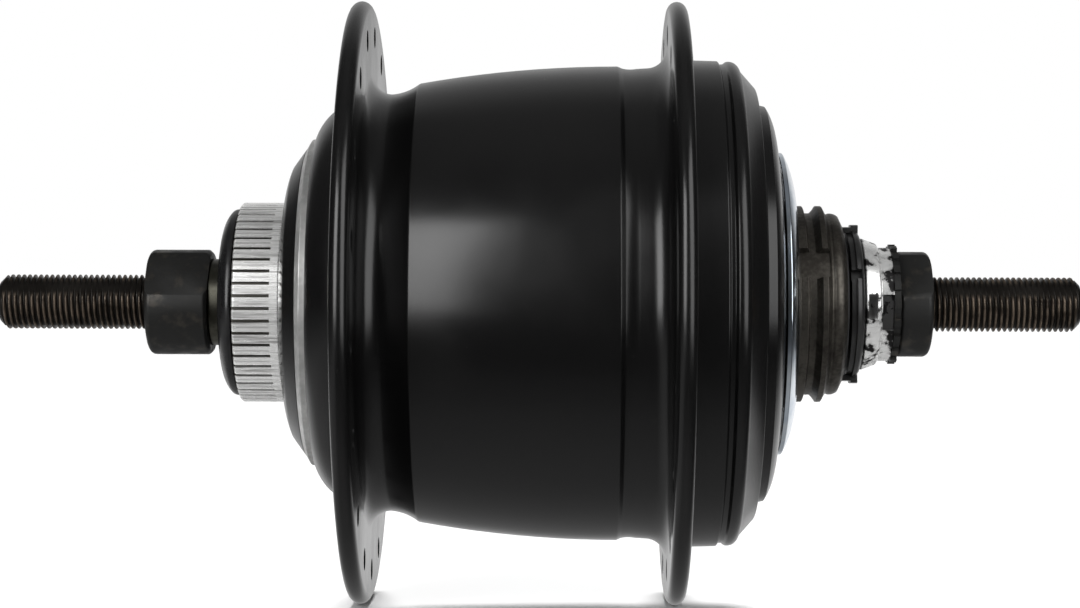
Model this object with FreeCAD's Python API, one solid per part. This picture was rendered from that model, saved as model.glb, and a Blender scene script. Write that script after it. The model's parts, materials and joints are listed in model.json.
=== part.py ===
import FreeCAD
import Part
import math
import os

# Internal gear hub for a rear wheel, in millimetres.
# X runs along the axle towards the sprocket, Y away from the viewer, Z up.
# The origin is the middle of the axle, half way between the outer faces of the lock nuts.
# Angles about X are in degrees, from +Y towards +Z.

# Axle and lock nuts
AXLE_LENGTH = 187.0
OVER_LOCKNUTS = 135.0
THREAD_RADIUS = 4.72
AXLE_BODY_RADIUS = 6.5
AXLE_COLLAR = 1.3
AXLE_COLLAR_HEIGHT = 2.5
AXLE_SHOULDER = 1.0
AXLE_ACROSS_FLATS = 8.4
CIRCLIP_GROOVE = 0.7
CIRCLIP_THICKNESS = 1.0
CIRCLIP_HEIGHT = 1.2
CIRCLIP_OPENING = 4.0
FLAT_ANGLE = 142.0
FLAT_SETBACK = 1.2
TIP_CHAMFER = 1.2
NUT_RADIUS = 9.1
NUT_ACROSS_FLATS = 15.7
NUT_EDGE = 1.1
LEFT_NUT_LENGTH = 10.8
RIGHT_NUT_LENGTH = 5.8

# Gear teeth
MODULE = 0.85
PRESSURE_ANGLE = 25.0
ADDENDUM = 0.8
DEDENDUM = 1.0
BACKLASH = 0.14
RING_TEETH = 66
FIRST_SUN_TEETH = 30
FIRST_PLANET_TEETH = (12, 24)
SECOND_LOCKED_SUN_TEETH = 33
SECOND_FREE_SUN_TEETH = (30, 21)
SECOND_PLANET_TEETH = (18, 15, 27)
PLANETS = 3
FACE_WIDTH = 6.5
RING_RIM = 2.6
PIN_RADIUS = 2.2
PLANET_NECK_STEP = 0.3
PAWL_WIDTH = 2.4
PAWL_SINK = 1.5
PAWL_RISE = 1.8
PAWL_SETBACK = 1.0
KEYWAY_DEPTH = 2.0
THRUST_THICKNESS = 0.3
THRUST_HEIGHT = 2.2

# Planet carrier
CARRIER_START = -29.4
LEFT_PLATE = 2.4
MIDDLE_PLATE = 3.0
RIGHT_PLATE = 3.0
PLATE_INSET = 0.7
PILLAR_RADIUS = 4.4
SCREW_RADIUS = 1.6
SCREW_REACH = 4.9

# Roller clutch
CLUTCH_WIDTH = 3.6
ROLLERS = 10
ROLLER_RADIUS = 2.0
CUP_WALL = 2.0
CUP_INSET = 1.1
CLUTCH_HUB_RADIUS = 16.0
CLUTCH_SHOULDER = 0.9
RING_DISC = 2.2

# Shell
SHELL_WALL = 2.9
SHELL_GAP = 1.7
FLANGE_HEIGHT = 9.97
FLANGE_THICKNESS = 3.2
FLANGE_SPACING = 53.94
FLANGE_FILLET = 3.4
LEFT_FLANGE_X = -30.4
SPOKE_INSET = 5.77
SPOKE_HOLES = 18
SPOKE_PHASE = 108.0
SPOKE_HOLE_RADIUS = 1.45
SPOKE_COUNTERSINK = 0.45
BARREL_SWELL = 4.9
BARREL_LEFT_STEP = 1.9
RIM_STEP = 6.0
COVER_SEAT_STEP = 5.5
DISH_DEPTH = 7.4
LIP_RECESS = 1.0
LIP_HEIGHT = 1.3
END_RING_PLACE = 4.5
END_RING_BEVEL = 0.8
END_RING_LENGTH = 1.9
END_RING_INSET = 2.1
END_RING_DEPTH = 1.4
END_RING_BORE_DEPTH = 3.0

# Brake spline
SPLINE_TEETH = 51
SPLINE_RADIUS = 17.3
SPLINE_DEPTH = 0.8
SPLINE_LENGTH = 6.4
SPLINE_GROOVE = 0.55
COLLAR_LENGTH = 1.7
BOSS_WALL = 1.1
CUP_FRONT = 3.5
CUP_LENGTH = 7.4

# Ball bearings
BALL_RADIUS = 2.38
CONE_ORBIT = 10.2
CONE_BALLS = 11
DRIVER_ORBIT = 23.2
DRIVER_BALLS = 24
BALL_GAP = 0.06
CAGE_GAP = 0.12
CAGE_THICKNESS = 1.0
CUP_BACKING = 1.2
CONE_NECK = 7.5
CONE_TAIL = 2.5
LEFT_CAP_DEPTH = 2.8
LEFT_CAP_EDGE = 1.2
LEFT_CAP_HUB = 2.1
LEFT_CAP_SETBACK = 1.2

# Driver and its covers
DRIVER_BORE = 8.0
DRIVER_TUBE_WALL = 3.6
DRIVER_DISC = 3.5
DRIVER_DISC_GAP = 1.2
DRIVER_HOLLOW = 3.6
DRIVER_NECK = 14.4
SEAT_TO_BALLS = 3.3
BALLS_TO_END = 4.7
SNAP_THICKNESS = 1.1
SNAP_DEPTH = 0.9
SNAP_HEIGHT = 1.2
SNAP_OPENING = 12.0
RING_LIP = 1.0
COVER_OVERHANG = 3.1
COVER_FACE = 3.8
COVER_SKIRT = 6.0
DOG_WIDTH = 8.0
DOGS = 3
SPROCKET_SEAT_RADIUS = 17.0
SPROCKET_NOTCHES = 3
NOTCH_ANGLE = 155.5
NOTCH_SPAN = 18.0
NOTCH_DEPTH = 1.25
CAP_SHOULDER = 1.6
CAP_DEPTH = 3.2
DUST_CAP_RADIUS = 26.2
DUST_CAP_SHEET = 0.8
SEAL_RADIUS = 12.2
SEAL_THICKNESS = 0.5

# Shift parts
CAM_WALL = 1.5
CAM_LOBE_LENGTH = 4.0
CAM_LOBE_SPAN = 50.0
SLEEVE_WALL = 1.5
SHIFT_GAP = 0.9
SHIFT_RING_LENGTH = 2.3
HEAD_GAP = 0.2
HEAD_WEB = 0.8
HEAD_STEP_LENGTH = 2.1
HEAD_SLOTS = 3
SHIFT_RING_RADIUS = 12.9
SHIFT_LOBE_RADIUS = 13.75
SHIFT_TRAVEL = 157.0
KEY_HALF_ANGLE = 9.0
KEY_REST_ANGLE = 60.0
CONE_HEAD_RADIUS = 10.6
CONE_HEAD_STEP = 0.8
CONE_HEAD_TAPER = 0.8
WASHER_RADIUS = 10.35
WASHER_TEETH = 20
WASHER_TOOTH = 1.5
WASHER_THICKNESS = 1.1
SPRING_STRIP = 0.35
SPRING_PITCH = 1.0
SPRING_TURNS = 3
SPRING_WIDTH = 2.4
SPRING_SETBACK = 6.2

# Clearances
SEAT = 0.02
RUNNING = 0.06
SIDE_GAP = 0.5
THIN_GAP = 0.3
SLEEVE_GAP = 0.1

ORIGIN = FreeCAD.Vector(0, 0, 0)
X_AXIS = FreeCAD.Vector(1, 0, 0)

# Gear train sizes that follow from the teeth
RING_ROOT = MODULE * (RING_TEETH / 2 + DEDENDUM)
RING_OUTER = RING_ROOT + RING_RIM
FIRST_ORBIT = MODULE * (FIRST_SUN_TEETH + FIRST_PLANET_TEETH[0]) / 2
SECOND_ORBIT = MODULE * (SECOND_LOCKED_SUN_TEETH + SECOND_PLANET_TEETH[1]) / 2
PILLAR_ORBIT = SECOND_ORBIT
PLATE_RADIUS = RING_ROOT - PLATE_INSET
STAGE_TURN = 180.0 / PLANETS

# Places along the axle, from the left plate of the carrier towards the right
left_plate_end = CARRIER_START + LEFT_PLATE
second_starts = [left_plate_end + SIDE_GAP + i * (FACE_WIDTH + SIDE_GAP) for i in range(3)]
second_end = second_starts[2] + FACE_WIDTH
middle_plate = second_end + SIDE_GAP
middle_plate_end = middle_plate + MIDDLE_PLATE
first_starts = [middle_plate_end + SIDE_GAP + i * (FACE_WIDTH + SIDE_GAP) for i in range(2)]
first_end = first_starts[1] + FACE_WIDTH
right_plate = first_end + SIDE_GAP
right_plate_end = right_plate + RIGHT_PLATE
circlip_start = right_plate_end + THIN_GAP
circlip_end = circlip_start + CIRCLIP_THICKNESS
axle_body_end = circlip_end + AXLE_SHOULDER
cam_start = axle_body_end + THIN_GAP
disc_start = circlip_end + DRIVER_DISC_GAP
disc_end = disc_start + DRIVER_DISC
snap_start = disc_end + SLEEVE_GAP
snap_end = snap_start + SNAP_THICKNESS
ring_end = snap_end + RING_LIP
driver_ball_x = ring_end + DRIVER_NECK
cover_end = driver_ball_x + COVER_OVERHANG
cover_face = cover_end - COVER_FACE
cap_start = cover_end + THIN_GAP
driver_seat_x = cap_start + CAP_DEPTH
right_ball_x = driver_seat_x + SEAT_TO_BALLS
driver_end = right_ball_x + BALLS_TO_END

# Places along the axle, from the carrier towards the left
ring_disc_start = CARRIER_START - THIN_GAP - RING_DISC
clutch_end = ring_disc_start - SIDE_GAP
clutch_start = clutch_end - CLUTCH_WIDTH
cavity_start = clutch_start - CLUTCH_SHOULDER
collar_end = clutch_start - THIN_GAP
collar_start = collar_end - AXLE_COLLAR
dish_start = cavity_start - DISH_DEPTH
collar_ring_start = dish_start + LIP_RECESS
end_ring_start = dish_start + END_RING_PLACE
end_ring_end = end_ring_start + END_RING_LENGTH
spline_start = collar_ring_start - COLLAR_LENGTH - SPLINE_LENGTH
left_ball_x = spline_start + CUP_FRONT
left_cup_end = spline_start + CUP_LENGTH
left_cone_end = left_ball_x + CONE_TAIL
cap_face = spline_start - THIN_GAP
right_nut_start = OVER_LOCKNUTS / 2 - RIGHT_NUT_LENGTH
left_nut_end = LEFT_NUT_LENGTH - OVER_LOCKNUTS / 2
washer_end = right_nut_start - SEAT
washer_start = washer_end - WASHER_THICKNESS
head_end = washer_start - SEAT
shift_start = driver_end + SHIFT_GAP
shift_end = shift_start + SHIFT_RING_LENGTH
head_start = shift_end + HEAD_GAP
head_web = head_start + HEAD_WEB
cam_end = head_web - THIN_GAP

# Radii of the shell, from the gear train outwards
NECK_BORE = RING_OUTER + SHELL_GAP
NECK_RADIUS = NECK_BORE + SHELL_WALL
BARREL_RADIUS = NECK_RADIUS + BARREL_SWELL
RIM_RADIUS = NECK_RADIUS + RIM_STEP
COVER_SEAT = RING_OUTER + COVER_SEAT_STEP
FLANGE_RADIUS = RIM_RADIUS + FLANGE_HEIGHT
SPOKE_RADIUS = FLANGE_RADIUS - SPOKE_INSET
CUP_OUTER = RING_OUTER - CUP_INSET
CUP_INNER = CUP_OUTER - CUP_WALL
END_RING_RADIUS = CUP_OUTER - END_RING_INSET
END_RING_FACE = END_RING_RADIUS - END_RING_DEPTH
END_RING_BORE = END_RING_RADIUS - END_RING_BORE_DEPTH
ROLLER_ORBIT = CUP_INNER - ROLLER_RADIUS - RUNNING
RIGHT_FLANGE_X = LEFT_FLANGE_X + FLANGE_SPACING
BEARING_CUP_RADIUS = CONE_ORBIT + BALL_RADIUS + CUP_BACKING
BOSS_RADIUS = BEARING_CUP_RADIUS + BOSS_WALL
RACE = math.sqrt(0.5) * (BALL_RADIUS + BALL_GAP)

# Radii of the shift parts
CAM_BORE = THREAD_RADIUS + RUNNING
CAM_RADIUS = CAM_BORE + CAM_WALL
SLEEVE_BORE = CAM_RADIUS + SLEEVE_GAP
SLEEVE_RADIUS = SLEEVE_BORE + SLEEVE_WALL
RING_BORE = SLEEVE_RADIUS + RUNNING


def on_plane(place):
    """A point of a turned outline, given as a place along X and a radius."""
    return FreeCAD.Vector(place[0], 0, place[1])


def around(x, radius, angle):
    """The point at a radius and an angle about the axle."""
    turn = math.radians(angle)
    return FreeCAD.Vector(x, radius * math.cos(turn), radius * math.sin(turn))


def turned(start, *steps):
    """A body turned about the axle. A step is a place, or a pair for an arc through the first."""
    edges = []
    here = start
    for step in steps + (start,):
        if isinstance(step[0], tuple):
            there = step[1]
            edges.append(Part.Arc(on_plane(here), on_plane(step[0]), on_plane(there)).toShape())
        else:
            there = step
            edges.append(Part.LineSegment(on_plane(here), on_plane(there)).toShape())
        here = there
    return Part.Face(Part.Wire(edges)).revolve(ORIGIN, X_AXIS, 360)


def tube(start, end, inner, outer):
    """A plain ring about the axle."""
    return turned((start, inner), (end, inner), (end, outer), (start, outer))


def rod(start, end, radius, orbit=0.0, angle=0.0):
    """A round rod along X, on the axle line or beside it."""
    return Part.makeCylinder(radius, end - start, around(start, orbit, angle), X_AXIS)


def block(start, end, low, high, width, angle):
    """A block that stands out radially from one radius to another, at an angle."""
    box = Part.makeBox(end - start, high - low, width, FreeCAD.Vector(start, low, -width / 2))
    return box.rotate(ORIGIN, X_AXIS, angle)


def sector(start, end, inner, outer, middle, half):
    """Part of a ring about the axle, up to a half angle each side of its middle."""
    corners = [around(0, inner, middle - half), around(0, outer, middle - half),
               around(0, outer, middle + half), around(0, inner, middle + half)]
    edges = [Part.LineSegment(corners[0], corners[1]).toShape(),
             Part.Arc(corners[1], around(0, outer, middle), corners[2]).toShape(),
             Part.LineSegment(corners[2], corners[3]).toShape(),
             Part.Arc(corners[3], around(0, inner, middle), corners[0]).toShape()]
    flat = Part.Face(Part.Wire(edges)).extrude(FreeCAD.Vector(end - start, 0, 0))
    return flat.translate(FreeCAD.Vector(start, 0, 0))


def fused(parts):
    """The parts as one body."""
    return parts[0].multiFuse(parts[1:]).removeSplitter()


def involute(angle):
    return math.tan(angle) - angle


def half_tooth(teeth, radius, slack):
    """Half the angle of a tooth at a radius, in radians, thinned by the slack."""
    pitch = MODULE * teeth / 2
    base = pitch * math.cos(math.radians(PRESSURE_ANGLE))
    here = math.acos(min(1.0, base / max(radius, base)))
    at_pitch = math.pi / 2 / teeth - slack / (4 * pitch)
    return at_pitch + involute(math.radians(PRESSURE_ANGLE)) - involute(here)


def tooth_wire(x, teeth, radii, slack, phase):
    """The closed outline of a toothed wheel, from the foot to the tip of each tooth."""
    points = []
    for tooth in range(teeth):
        middle = math.radians(phase) + 2 * math.pi * tooth / teeth
        flank = [(radius, half_tooth(teeth, radius, slack)) for radius in radii]
        for radius, half in flank:
            points.append(around(x, radius, math.degrees(middle - half)))
        for radius, half in reversed(flank):
            points.append(around(x, radius, math.degrees(middle + half)))
    return Part.makePolygon(points + points[:1])


def plate(wires, width):
    """A flat body of some width along X, with the inner outlines as holes."""
    return Part.makeFace(wires, "Part::FaceMakerBullseye").extrude(FreeCAD.Vector(width, 0, 0))


def circle_wire(x, radius):
    return Part.Wire(Part.makeCircle(radius, FreeCAD.Vector(x, 0, 0), X_AXIS))


def gear(start, width, teeth, bore, phase=0.0):
    """A spur gear on the axle line."""
    pitch = MODULE * teeth / 2
    radii = (pitch - MODULE * DEDENDUM, pitch, pitch + MODULE * ADDENDUM)
    wires = [tooth_wire(start, teeth, radii, BACKLASH, phase)]
    if bore:
        wires.append(circle_wire(start, bore))
    return plate(wires, width)


def ring_gear(start, width):
    """A ring with teeth inside. A tooth space is centred at angle zero."""
    pitch = MODULE * RING_TEETH / 2
    radii = (pitch - MODULE * ADDENDUM, pitch + MODULE * DEDENDUM)
    spaces = tooth_wire(start, RING_TEETH, radii, -BACKLASH, 0)
    return plate([circle_wire(start, RING_OUTER), spaces], width)


def planet(starts, teeth, phases, orbit, angle):
    """A stepped planet gear on its pin, at its place round the axle."""
    steps = [gear(x, FACE_WIDTH, count, 0, phase) for x, count, phase in zip(starts, teeth, phases)]
    neck = min(teeth) * MODULE / 2 - MODULE * DEDENDUM - PLANET_NECK_STEP
    body = fused(steps + [rod(starts[0], starts[-1] + FACE_WIDTH, neck)])
    body = body.cut(rod(starts[0] - 1, starts[-1] + FACE_WIDTH + 1, PIN_RADIUS + RUNNING))
    return body.translate(FreeCAD.Vector(0, orbit, 0)).rotate(ORIGIN, X_AXIS, angle)


def balls(x, orbit, count):
    return Part.makeCompound([Part.makeSphere(BALL_RADIUS, around(x, orbit, 360.0 * i / count))
                              for i in range(count)])


def ball_cage(x, orbit, count):
    """A flat ring with a round pocket for each ball."""
    half_width = 0.75 * BALL_RADIUS
    ring = tube(x - half_width, x + half_width, orbit - CAGE_THICKNESS / 2, orbit + CAGE_THICKNESS / 2)
    pockets = [Part.makeSphere(BALL_RADIUS + CAGE_GAP, around(x, orbit, 360.0 * i / count))
               for i in range(count)]
    return ring.cut(Part.makeCompound(pockets))


def inner_race(x, orbit, side, reach):
    """Two ends of the slope that a ball rests on from below; side is where the shoulder lies."""
    low = (x + side * (RACE - reach), orbit - RACE - reach)
    high = (x + side * (RACE + 1.2), orbit - RACE + 1.2)
    return low, high


def outer_race(x, orbit, side, reach):
    """Two ends of the slope that a ball rests on from above; side is where the shoulder lies."""
    low = (x + side * (RACE + reach), orbit + RACE - reach)
    high = (x + side * (RACE - 0.8), orbit + RACE + 0.8)
    return low, high


# Axle set

def axle():
    tip = AXLE_LENGTH / 2
    slim = THREAD_RADIUS - TIP_CHAMFER
    body = turned((-tip, 0), (-tip, slim), (TIP_CHAMFER - tip, THREAD_RADIUS),
                  (collar_start, THREAD_RADIUS), (collar_start, AXLE_BODY_RADIUS + AXLE_COLLAR_HEIGHT),
                  (collar_end, AXLE_BODY_RADIUS + AXLE_COLLAR_HEIGHT), (collar_end, AXLE_BODY_RADIUS),
                  (circlip_start, AXLE_BODY_RADIUS), (circlip_start, AXLE_BODY_RADIUS - CIRCLIP_GROOVE),
                  (circlip_end, AXLE_BODY_RADIUS - CIRCLIP_GROOVE), (circlip_end, AXLE_BODY_RADIUS),
                  (axle_body_end, AXLE_BODY_RADIUS), (axle_body_end, THREAD_RADIUS),
                  (tip - TIP_CHAMFER, THREAD_RADIUS), (tip, slim), (tip, 0))
    cutters = []
    for side in (-1, 1):
        begin = side * (OVER_LOCKNUTS / 2 + FLAT_SETBACK)
        ends = sorted((begin, side * (tip + 1)))
        for angle in (FLAT_ANGLE, FLAT_ANGLE + 180):
            cutters.append(block(ends[0], ends[1], AXLE_ACROSS_FLATS / 2, NUT_RADIUS,
                                 2 * NUT_RADIUS, angle))
    cutters += [block(start + PAWL_SETBACK, start + FACE_WIDTH - PAWL_SETBACK,
                      AXLE_BODY_RADIUS - PAWL_SINK, NUT_RADIUS, PAWL_WIDTH + 2 * SEAT, angle)
                for start in (second_starts[1], first_starts[0]) for angle in (90, 270)]
    return body.cut(Part.makeCompound(cutters))


def lock_nut(inner, outer):
    """A round nut with two wrench flats; its face at the outer end clamps the frame."""
    toward = 1 if outer > inner else -1
    body = turned((inner, THREAD_RADIUS + SEAT), (inner, NUT_RADIUS - NUT_EDGE / 2),
                  (inner + toward * NUT_EDGE / 2, NUT_RADIUS), (outer - toward * NUT_EDGE, NUT_RADIUS),
                  ((outer - toward * 0.3 * NUT_EDGE, NUT_RADIUS - 0.3 * NUT_EDGE),
                   (outer, NUT_RADIUS - NUT_EDGE)),
                  (outer, THREAD_RADIUS + SEAT))
    ends = sorted((inner - toward, outer + toward))
    flats = [block(ends[0], ends[1], NUT_ACROSS_FLATS / 2, 2 * NUT_RADIUS, 4 * NUT_RADIUS, angle)
             for angle in (FLAT_ANGLE, FLAT_ANGLE + 180)]
    return body.cut(Part.makeCompound(flats))


def left_cone():
    low, high = inner_race(left_ball_x, CONE_ORBIT, -1, 1.4)
    neck = CONE_NECK
    inner_end = left_cone_end
    return turned((left_nut_end + SEAT, THREAD_RADIUS + SEAT), (left_nut_end + SEAT, neck),
                  (cap_face + SEAT, neck), (cap_face + SEAT, high[1]), high, low,
                  (inner_end, low[1]), (inner_end, THREAD_RADIUS + SEAT))


def left_dust_cap():
    """A dished disc on the neck of the left cone."""
    face = cap_face
    front = face - LEFT_CAP_DEPTH
    edge = LEFT_CAP_EDGE
    rim = SPLINE_RADIUS - LEFT_CAP_SETBACK
    return turned((face, CONE_NECK + SEAT), (face, rim),
                  ((face - edge / 2, rim), (face - edge, rim - edge / 4)),
                  ((front + 0.7, rim - 1.6), (front + 0.2, rim - 4.4)),
                  (front, CONE_NECK + LEFT_CAP_HUB), (front, CONE_NECK + SEAT))


def left_spacer():
    return tube(left_cone_end + SEAT, collar_start - SEAT, THREAD_RADIUS + SEAT, AXLE_BODY_RADIUS + 1.5)


def window(start, end, inner, outer):
    """The way that the shift key sweeps through the sleeve of the right cone."""
    middle = KEY_REST_ANGLE + SHIFT_TRAVEL / 2
    return sector(start, end, inner, outer, middle, SHIFT_TRAVEL / 2 + KEY_HALF_ANGLE + 3)


def right_cone():
    """The cone, its sleeve over the cam tube, and the bright head at its outer end."""
    low, high = inner_race(right_ball_x, CONE_ORBIT, 1, 0.75)
    inner_end = right_ball_x - 3.0
    shoulder = high[0] + 0.9
    rim = CONE_HEAD_RADIUS - CONE_HEAD_STEP
    step = head_end - HEAD_STEP_LENGTH
    body = turned((inner_end, SLEEVE_BORE), (inner_end, low[1]), low, high, (shoulder, high[1]),
                  (shoulder, SLEEVE_RADIUS), (head_start, SLEEVE_RADIUS),
                  (head_start, CONE_HEAD_RADIUS + CONE_HEAD_TAPER - 0.2),
                  (head_start + 0.2, CONE_HEAD_RADIUS + CONE_HEAD_TAPER),
                  (step - 0.5, CONE_HEAD_RADIUS), ((step - 0.15, CONE_HEAD_RADIUS - 0.25), (step, rim)),
                  (head_end, rim), (head_end, THREAD_RADIUS + SEAT),
                  (head_web, THREAD_RADIUS + SEAT), (head_web, SLEEVE_BORE))
    cuts = [window(shift_start + 0.3, shift_start + 1.8, SLEEVE_BORE - 0.5, SLEEVE_RADIUS + 0.5)]
    for turn in [360.0 * i / HEAD_SLOTS for i in range(HEAD_SLOTS)]:
        cuts.append(block(head_start + 0.4, step - 0.8, rim - 0.8, CONE_HEAD_RADIUS + 1, 4.2, 182 + turn))
        cuts.append(block(step + 0.1, head_end + 1, rim - 1.6, CONE_HEAD_RADIUS + 1, 6.1, 188.6 + turn))
    return body.cut(Part.makeCompound(cuts))


def right_tooth_washer():
    disc = tube(washer_start, washer_end, THREAD_RADIUS + SEAT, WASHER_RADIUS - 0.5)
    teeth = [block(washer_start, washer_end, WASHER_RADIUS - 1.0, WASHER_RADIUS, WASHER_TOOTH,
                   360.0 * i / WASHER_TEETH) for i in range(WASHER_TEETH)]
    return fused([disc] + teeth)


def locked_sun(start, teeth):
    """A sun gear with keyways for the two pawls that hold it still."""
    body = gear(start, FACE_WIDTH, teeth, AXLE_BODY_RADIUS + SEAT)
    keyways = [block(start - 1, start + FACE_WIDTH + 1, AXLE_BODY_RADIUS - 1,
                     AXLE_BODY_RADIUS + KEYWAY_DEPTH, PAWL_WIDTH + 2 * SEAT, angle)
               for angle in range(30, 390, 60)]
    return body.cut(Part.makeCompound(keyways))


def sun_pawls():
    return Part.makeCompound(
        [block(start + PAWL_SETBACK + SEAT, start + FACE_WIDTH - PAWL_SETBACK - SEAT,
               AXLE_BODY_RADIUS - PAWL_SINK + SEAT, AXLE_BODY_RADIUS + PAWL_RISE, PAWL_WIDTH, angle)
         for start in (second_starts[1], first_starts[0]) for angle in (90, 270)])


def thrust_washers():
    starts = (second_starts[0] - SLEEVE_GAP - THRUST_THICKNESS, second_end + SLEEVE_GAP)
    return Part.makeCompound([tube(x, x + THRUST_THICKNESS, AXLE_BODY_RADIUS + RUNNING,
                                   AXLE_BODY_RADIUS + THRUST_HEIGHT) for x in starts])


def carrier_circlip():
    ring = tube(circlip_start + SEAT, circlip_end - SEAT,
                AXLE_BODY_RADIUS - CIRCLIP_GROOVE + SEAT, AXLE_BODY_RADIUS + CIRCLIP_HEIGHT)
    return ring.cut(block(circlip_start - 1, circlip_end + 1, 0, 3 * AXLE_BODY_RADIUS, CIRCLIP_OPENING, 270))


def return_spring():
    """A flat spiral strip round the cam tube; each half turn is an arc."""
    inner = CAM_RADIUS + THIN_GAP

    def spiral(offset):
        edges = []
        for half_turn in range(2 * SPRING_TURNS):
            side = 1 if half_turn % 2 == 0 else -1
            centre = side * SPRING_PITCH / 4
            radius = inner + offset + (2 * half_turn + 1) * SPRING_PITCH / 4
            edges.append(Part.Arc(FreeCAD.Vector(0, centre - side * radius, 0),
                                  FreeCAD.Vector(0, centre, side * radius),
                                  FreeCAD.Vector(0, centre + side * radius, 0)).toShape())
        return edges

    near = spiral(0.0)
    far = spiral(SPRING_STRIP)
    ends = [Part.LineSegment(near[0].Vertexes[0].Point, far[0].Vertexes[0].Point).toShape(),
            Part.LineSegment(near[-1].Vertexes[-1].Point, far[-1].Vertexes[-1].Point).toShape()]
    face = Part.Face(Part.Wire(Part.__sortEdges__(near + far + ends)))
    strip = face.extrude(FreeCAD.Vector(SPRING_WIDTH, 0, 0))
    return strip.translate(FreeCAD.Vector(right_ball_x - SPRING_SETBACK, 0, 0))


# Shell set

def flange(x, foot, side):
    """A spoke flange with a rounded rim, and a fillet at its foot towards the barrel."""
    half = FLANGE_THICKNESS / 2
    rim = FLANGE_RADIUS - half
    fillet = FLANGE_FILLET
    inner = (x + side * half, foot + fillet)
    return turned((x - side * half, foot - 3.0), (x - side * half, rim),
                  ((x, FLANGE_RADIUS), (x + side * half, rim)), inner,
                  ((x + side * (half + 0.3 * fillet), foot + 0.3 * fillet),
                   (x + side * (half + fillet), foot)),
                  (x + side * (half + fillet), foot - 3.0))


def spoke_holes(x, first):
    """Drilled and countersunk holes, evenly round a flange."""
    deep = FLANGE_THICKNESS / 2
    cutters = []
    for i in range(SPOKE_HOLES):
        angle = first + 360.0 * i / SPOKE_HOLES
        cutters.append(rod(x - deep - 1, x + deep + 1, SPOKE_HOLE_RADIUS, SPOKE_RADIUS, angle))
        for side in (-1, 1):
            wide = SPOKE_HOLE_RADIUS + SPOKE_COUNTERSINK
            place = around(x + side * deep, SPOKE_RADIUS, angle)
            cutters.append(Part.makeCone(wide, wide - SPOKE_COUNTERSINK, SPOKE_COUNTERSINK, place,
                                         FreeCAD.Vector(-side, 0, 0)))
    return Part.makeCompound(cutters)


def shell_outline():
    """The outside of the shell and its bores, turned as one body without the flanges."""
    dish = CUP_OUTER
    lip = SPLINE_RADIUS + LIP_HEIGHT
    face = collar_ring_start + SEAT
    left_foot = LEFT_FLANGE_X + FLANGE_THICKNESS / 2 + FLANGE_FILLET
    right_foot = RIGHT_FLANGE_X - FLANGE_THICKNESS / 2 - FLANGE_FILLET
    crease = LEFT_FLANGE_X + 9.9
    swell_end = RIGHT_FLANGE_X - 10.1
    valley = (swell_end + right_foot) / 2
    rim_start = RIGHT_FLANGE_X + FLANGE_THICKNESS / 2
    left_barrel = NECK_RADIUS + BARREL_LEFT_STEP
    return turned(
        (spline_start - 0.2, BEARING_CUP_RADIUS + SEAT), (spline_start - 0.2, BOSS_RADIUS),
        (face, BOSS_RADIUS), (face, lip),
        ((face + 0.3, lip + 2.3), (dish_start + 2.2, dish - 6.6)),
        ((dish_start + 3.2, dish - 5.2), (end_ring_start - 0.1, END_RING_FACE - 0.1)),
        (end_ring_start - 0.1, END_RING_BORE - SEAT), (end_ring_end + SEAT, END_RING_BORE - SEAT),
        (end_ring_end + SEAT, END_RING_RADIUS + 1.3),
        ((dish_start + 8.5, dish + 2.25), (LEFT_FLANGE_X - FLANGE_THICKNESS / 2 - 0.4, dish + 4.3)),
        (LEFT_FLANGE_X, dish + 4.6), (LEFT_FLANGE_X, NECK_RADIUS),
        (left_foot, NECK_RADIUS), ((crease - 1.6, NECK_RADIUS + 0.9), (crease, left_barrel)),
        (((crease + swell_end) / 2 + 0.4, BARREL_RADIUS - 0.72), (swell_end, BARREL_RADIUS)),
        (swell_end + 0.8, BARREL_RADIUS - 0.35),
        ((valley, BARREL_RADIUS - 0.68), (right_foot, BARREL_RADIUS - 0.3)),
        (rim_start, BARREL_RADIUS - 0.3), (rim_start, RIM_RADIUS),
        (rim_start + 5.4, RIM_RADIUS - 0.15), (rim_start + 5.7, RIM_RADIUS - 0.7),
        (rim_start + 6.4, RIM_RADIUS - 0.7), (rim_start + 6.9, RIM_RADIUS - 0.3),
        ((rim_start + 8.2, RIM_RADIUS - 0.45), (rim_start + 9.1, RIM_RADIUS - 1.7)),
        (cover_face, COVER_SEAT + 0.4), (cover_face, COVER_SEAT),
        (swell_end - 2.0, COVER_SEAT), (crease + 1.0, NECK_BORE + 1.8),
        (crease - 1.0, NECK_BORE), (clutch_end + 0.1, NECK_BORE), (clutch_end + 0.1, CUP_OUTER + SEAT),
        (clutch_start - SEAT, CUP_OUTER + SEAT), (clutch_start - SEAT, CUP_INNER - 0.5),
        (cavity_start, CUP_INNER - 2.0), (left_cup_end + 1.7, BEARING_CUP_RADIUS - 2.6),
        (left_cup_end, BEARING_CUP_RADIUS - 2.6), (left_cup_end, BEARING_CUP_RADIUS + SEAT))


def hub_shell():
    foot_right = BARREL_RADIUS - 0.3
    body = fused([shell_outline(), flange(LEFT_FLANGE_X, NECK_RADIUS, 1),
                  flange(RIGHT_FLANGE_X, foot_right, -1)])
    half_pitch = 180.0 / SPOKE_HOLES
    body = body.cut(spoke_holes(LEFT_FLANGE_X, SPOKE_PHASE))
    return body.cut(spoke_holes(RIGHT_FLANGE_X, SPOKE_PHASE - half_pitch))


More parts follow.
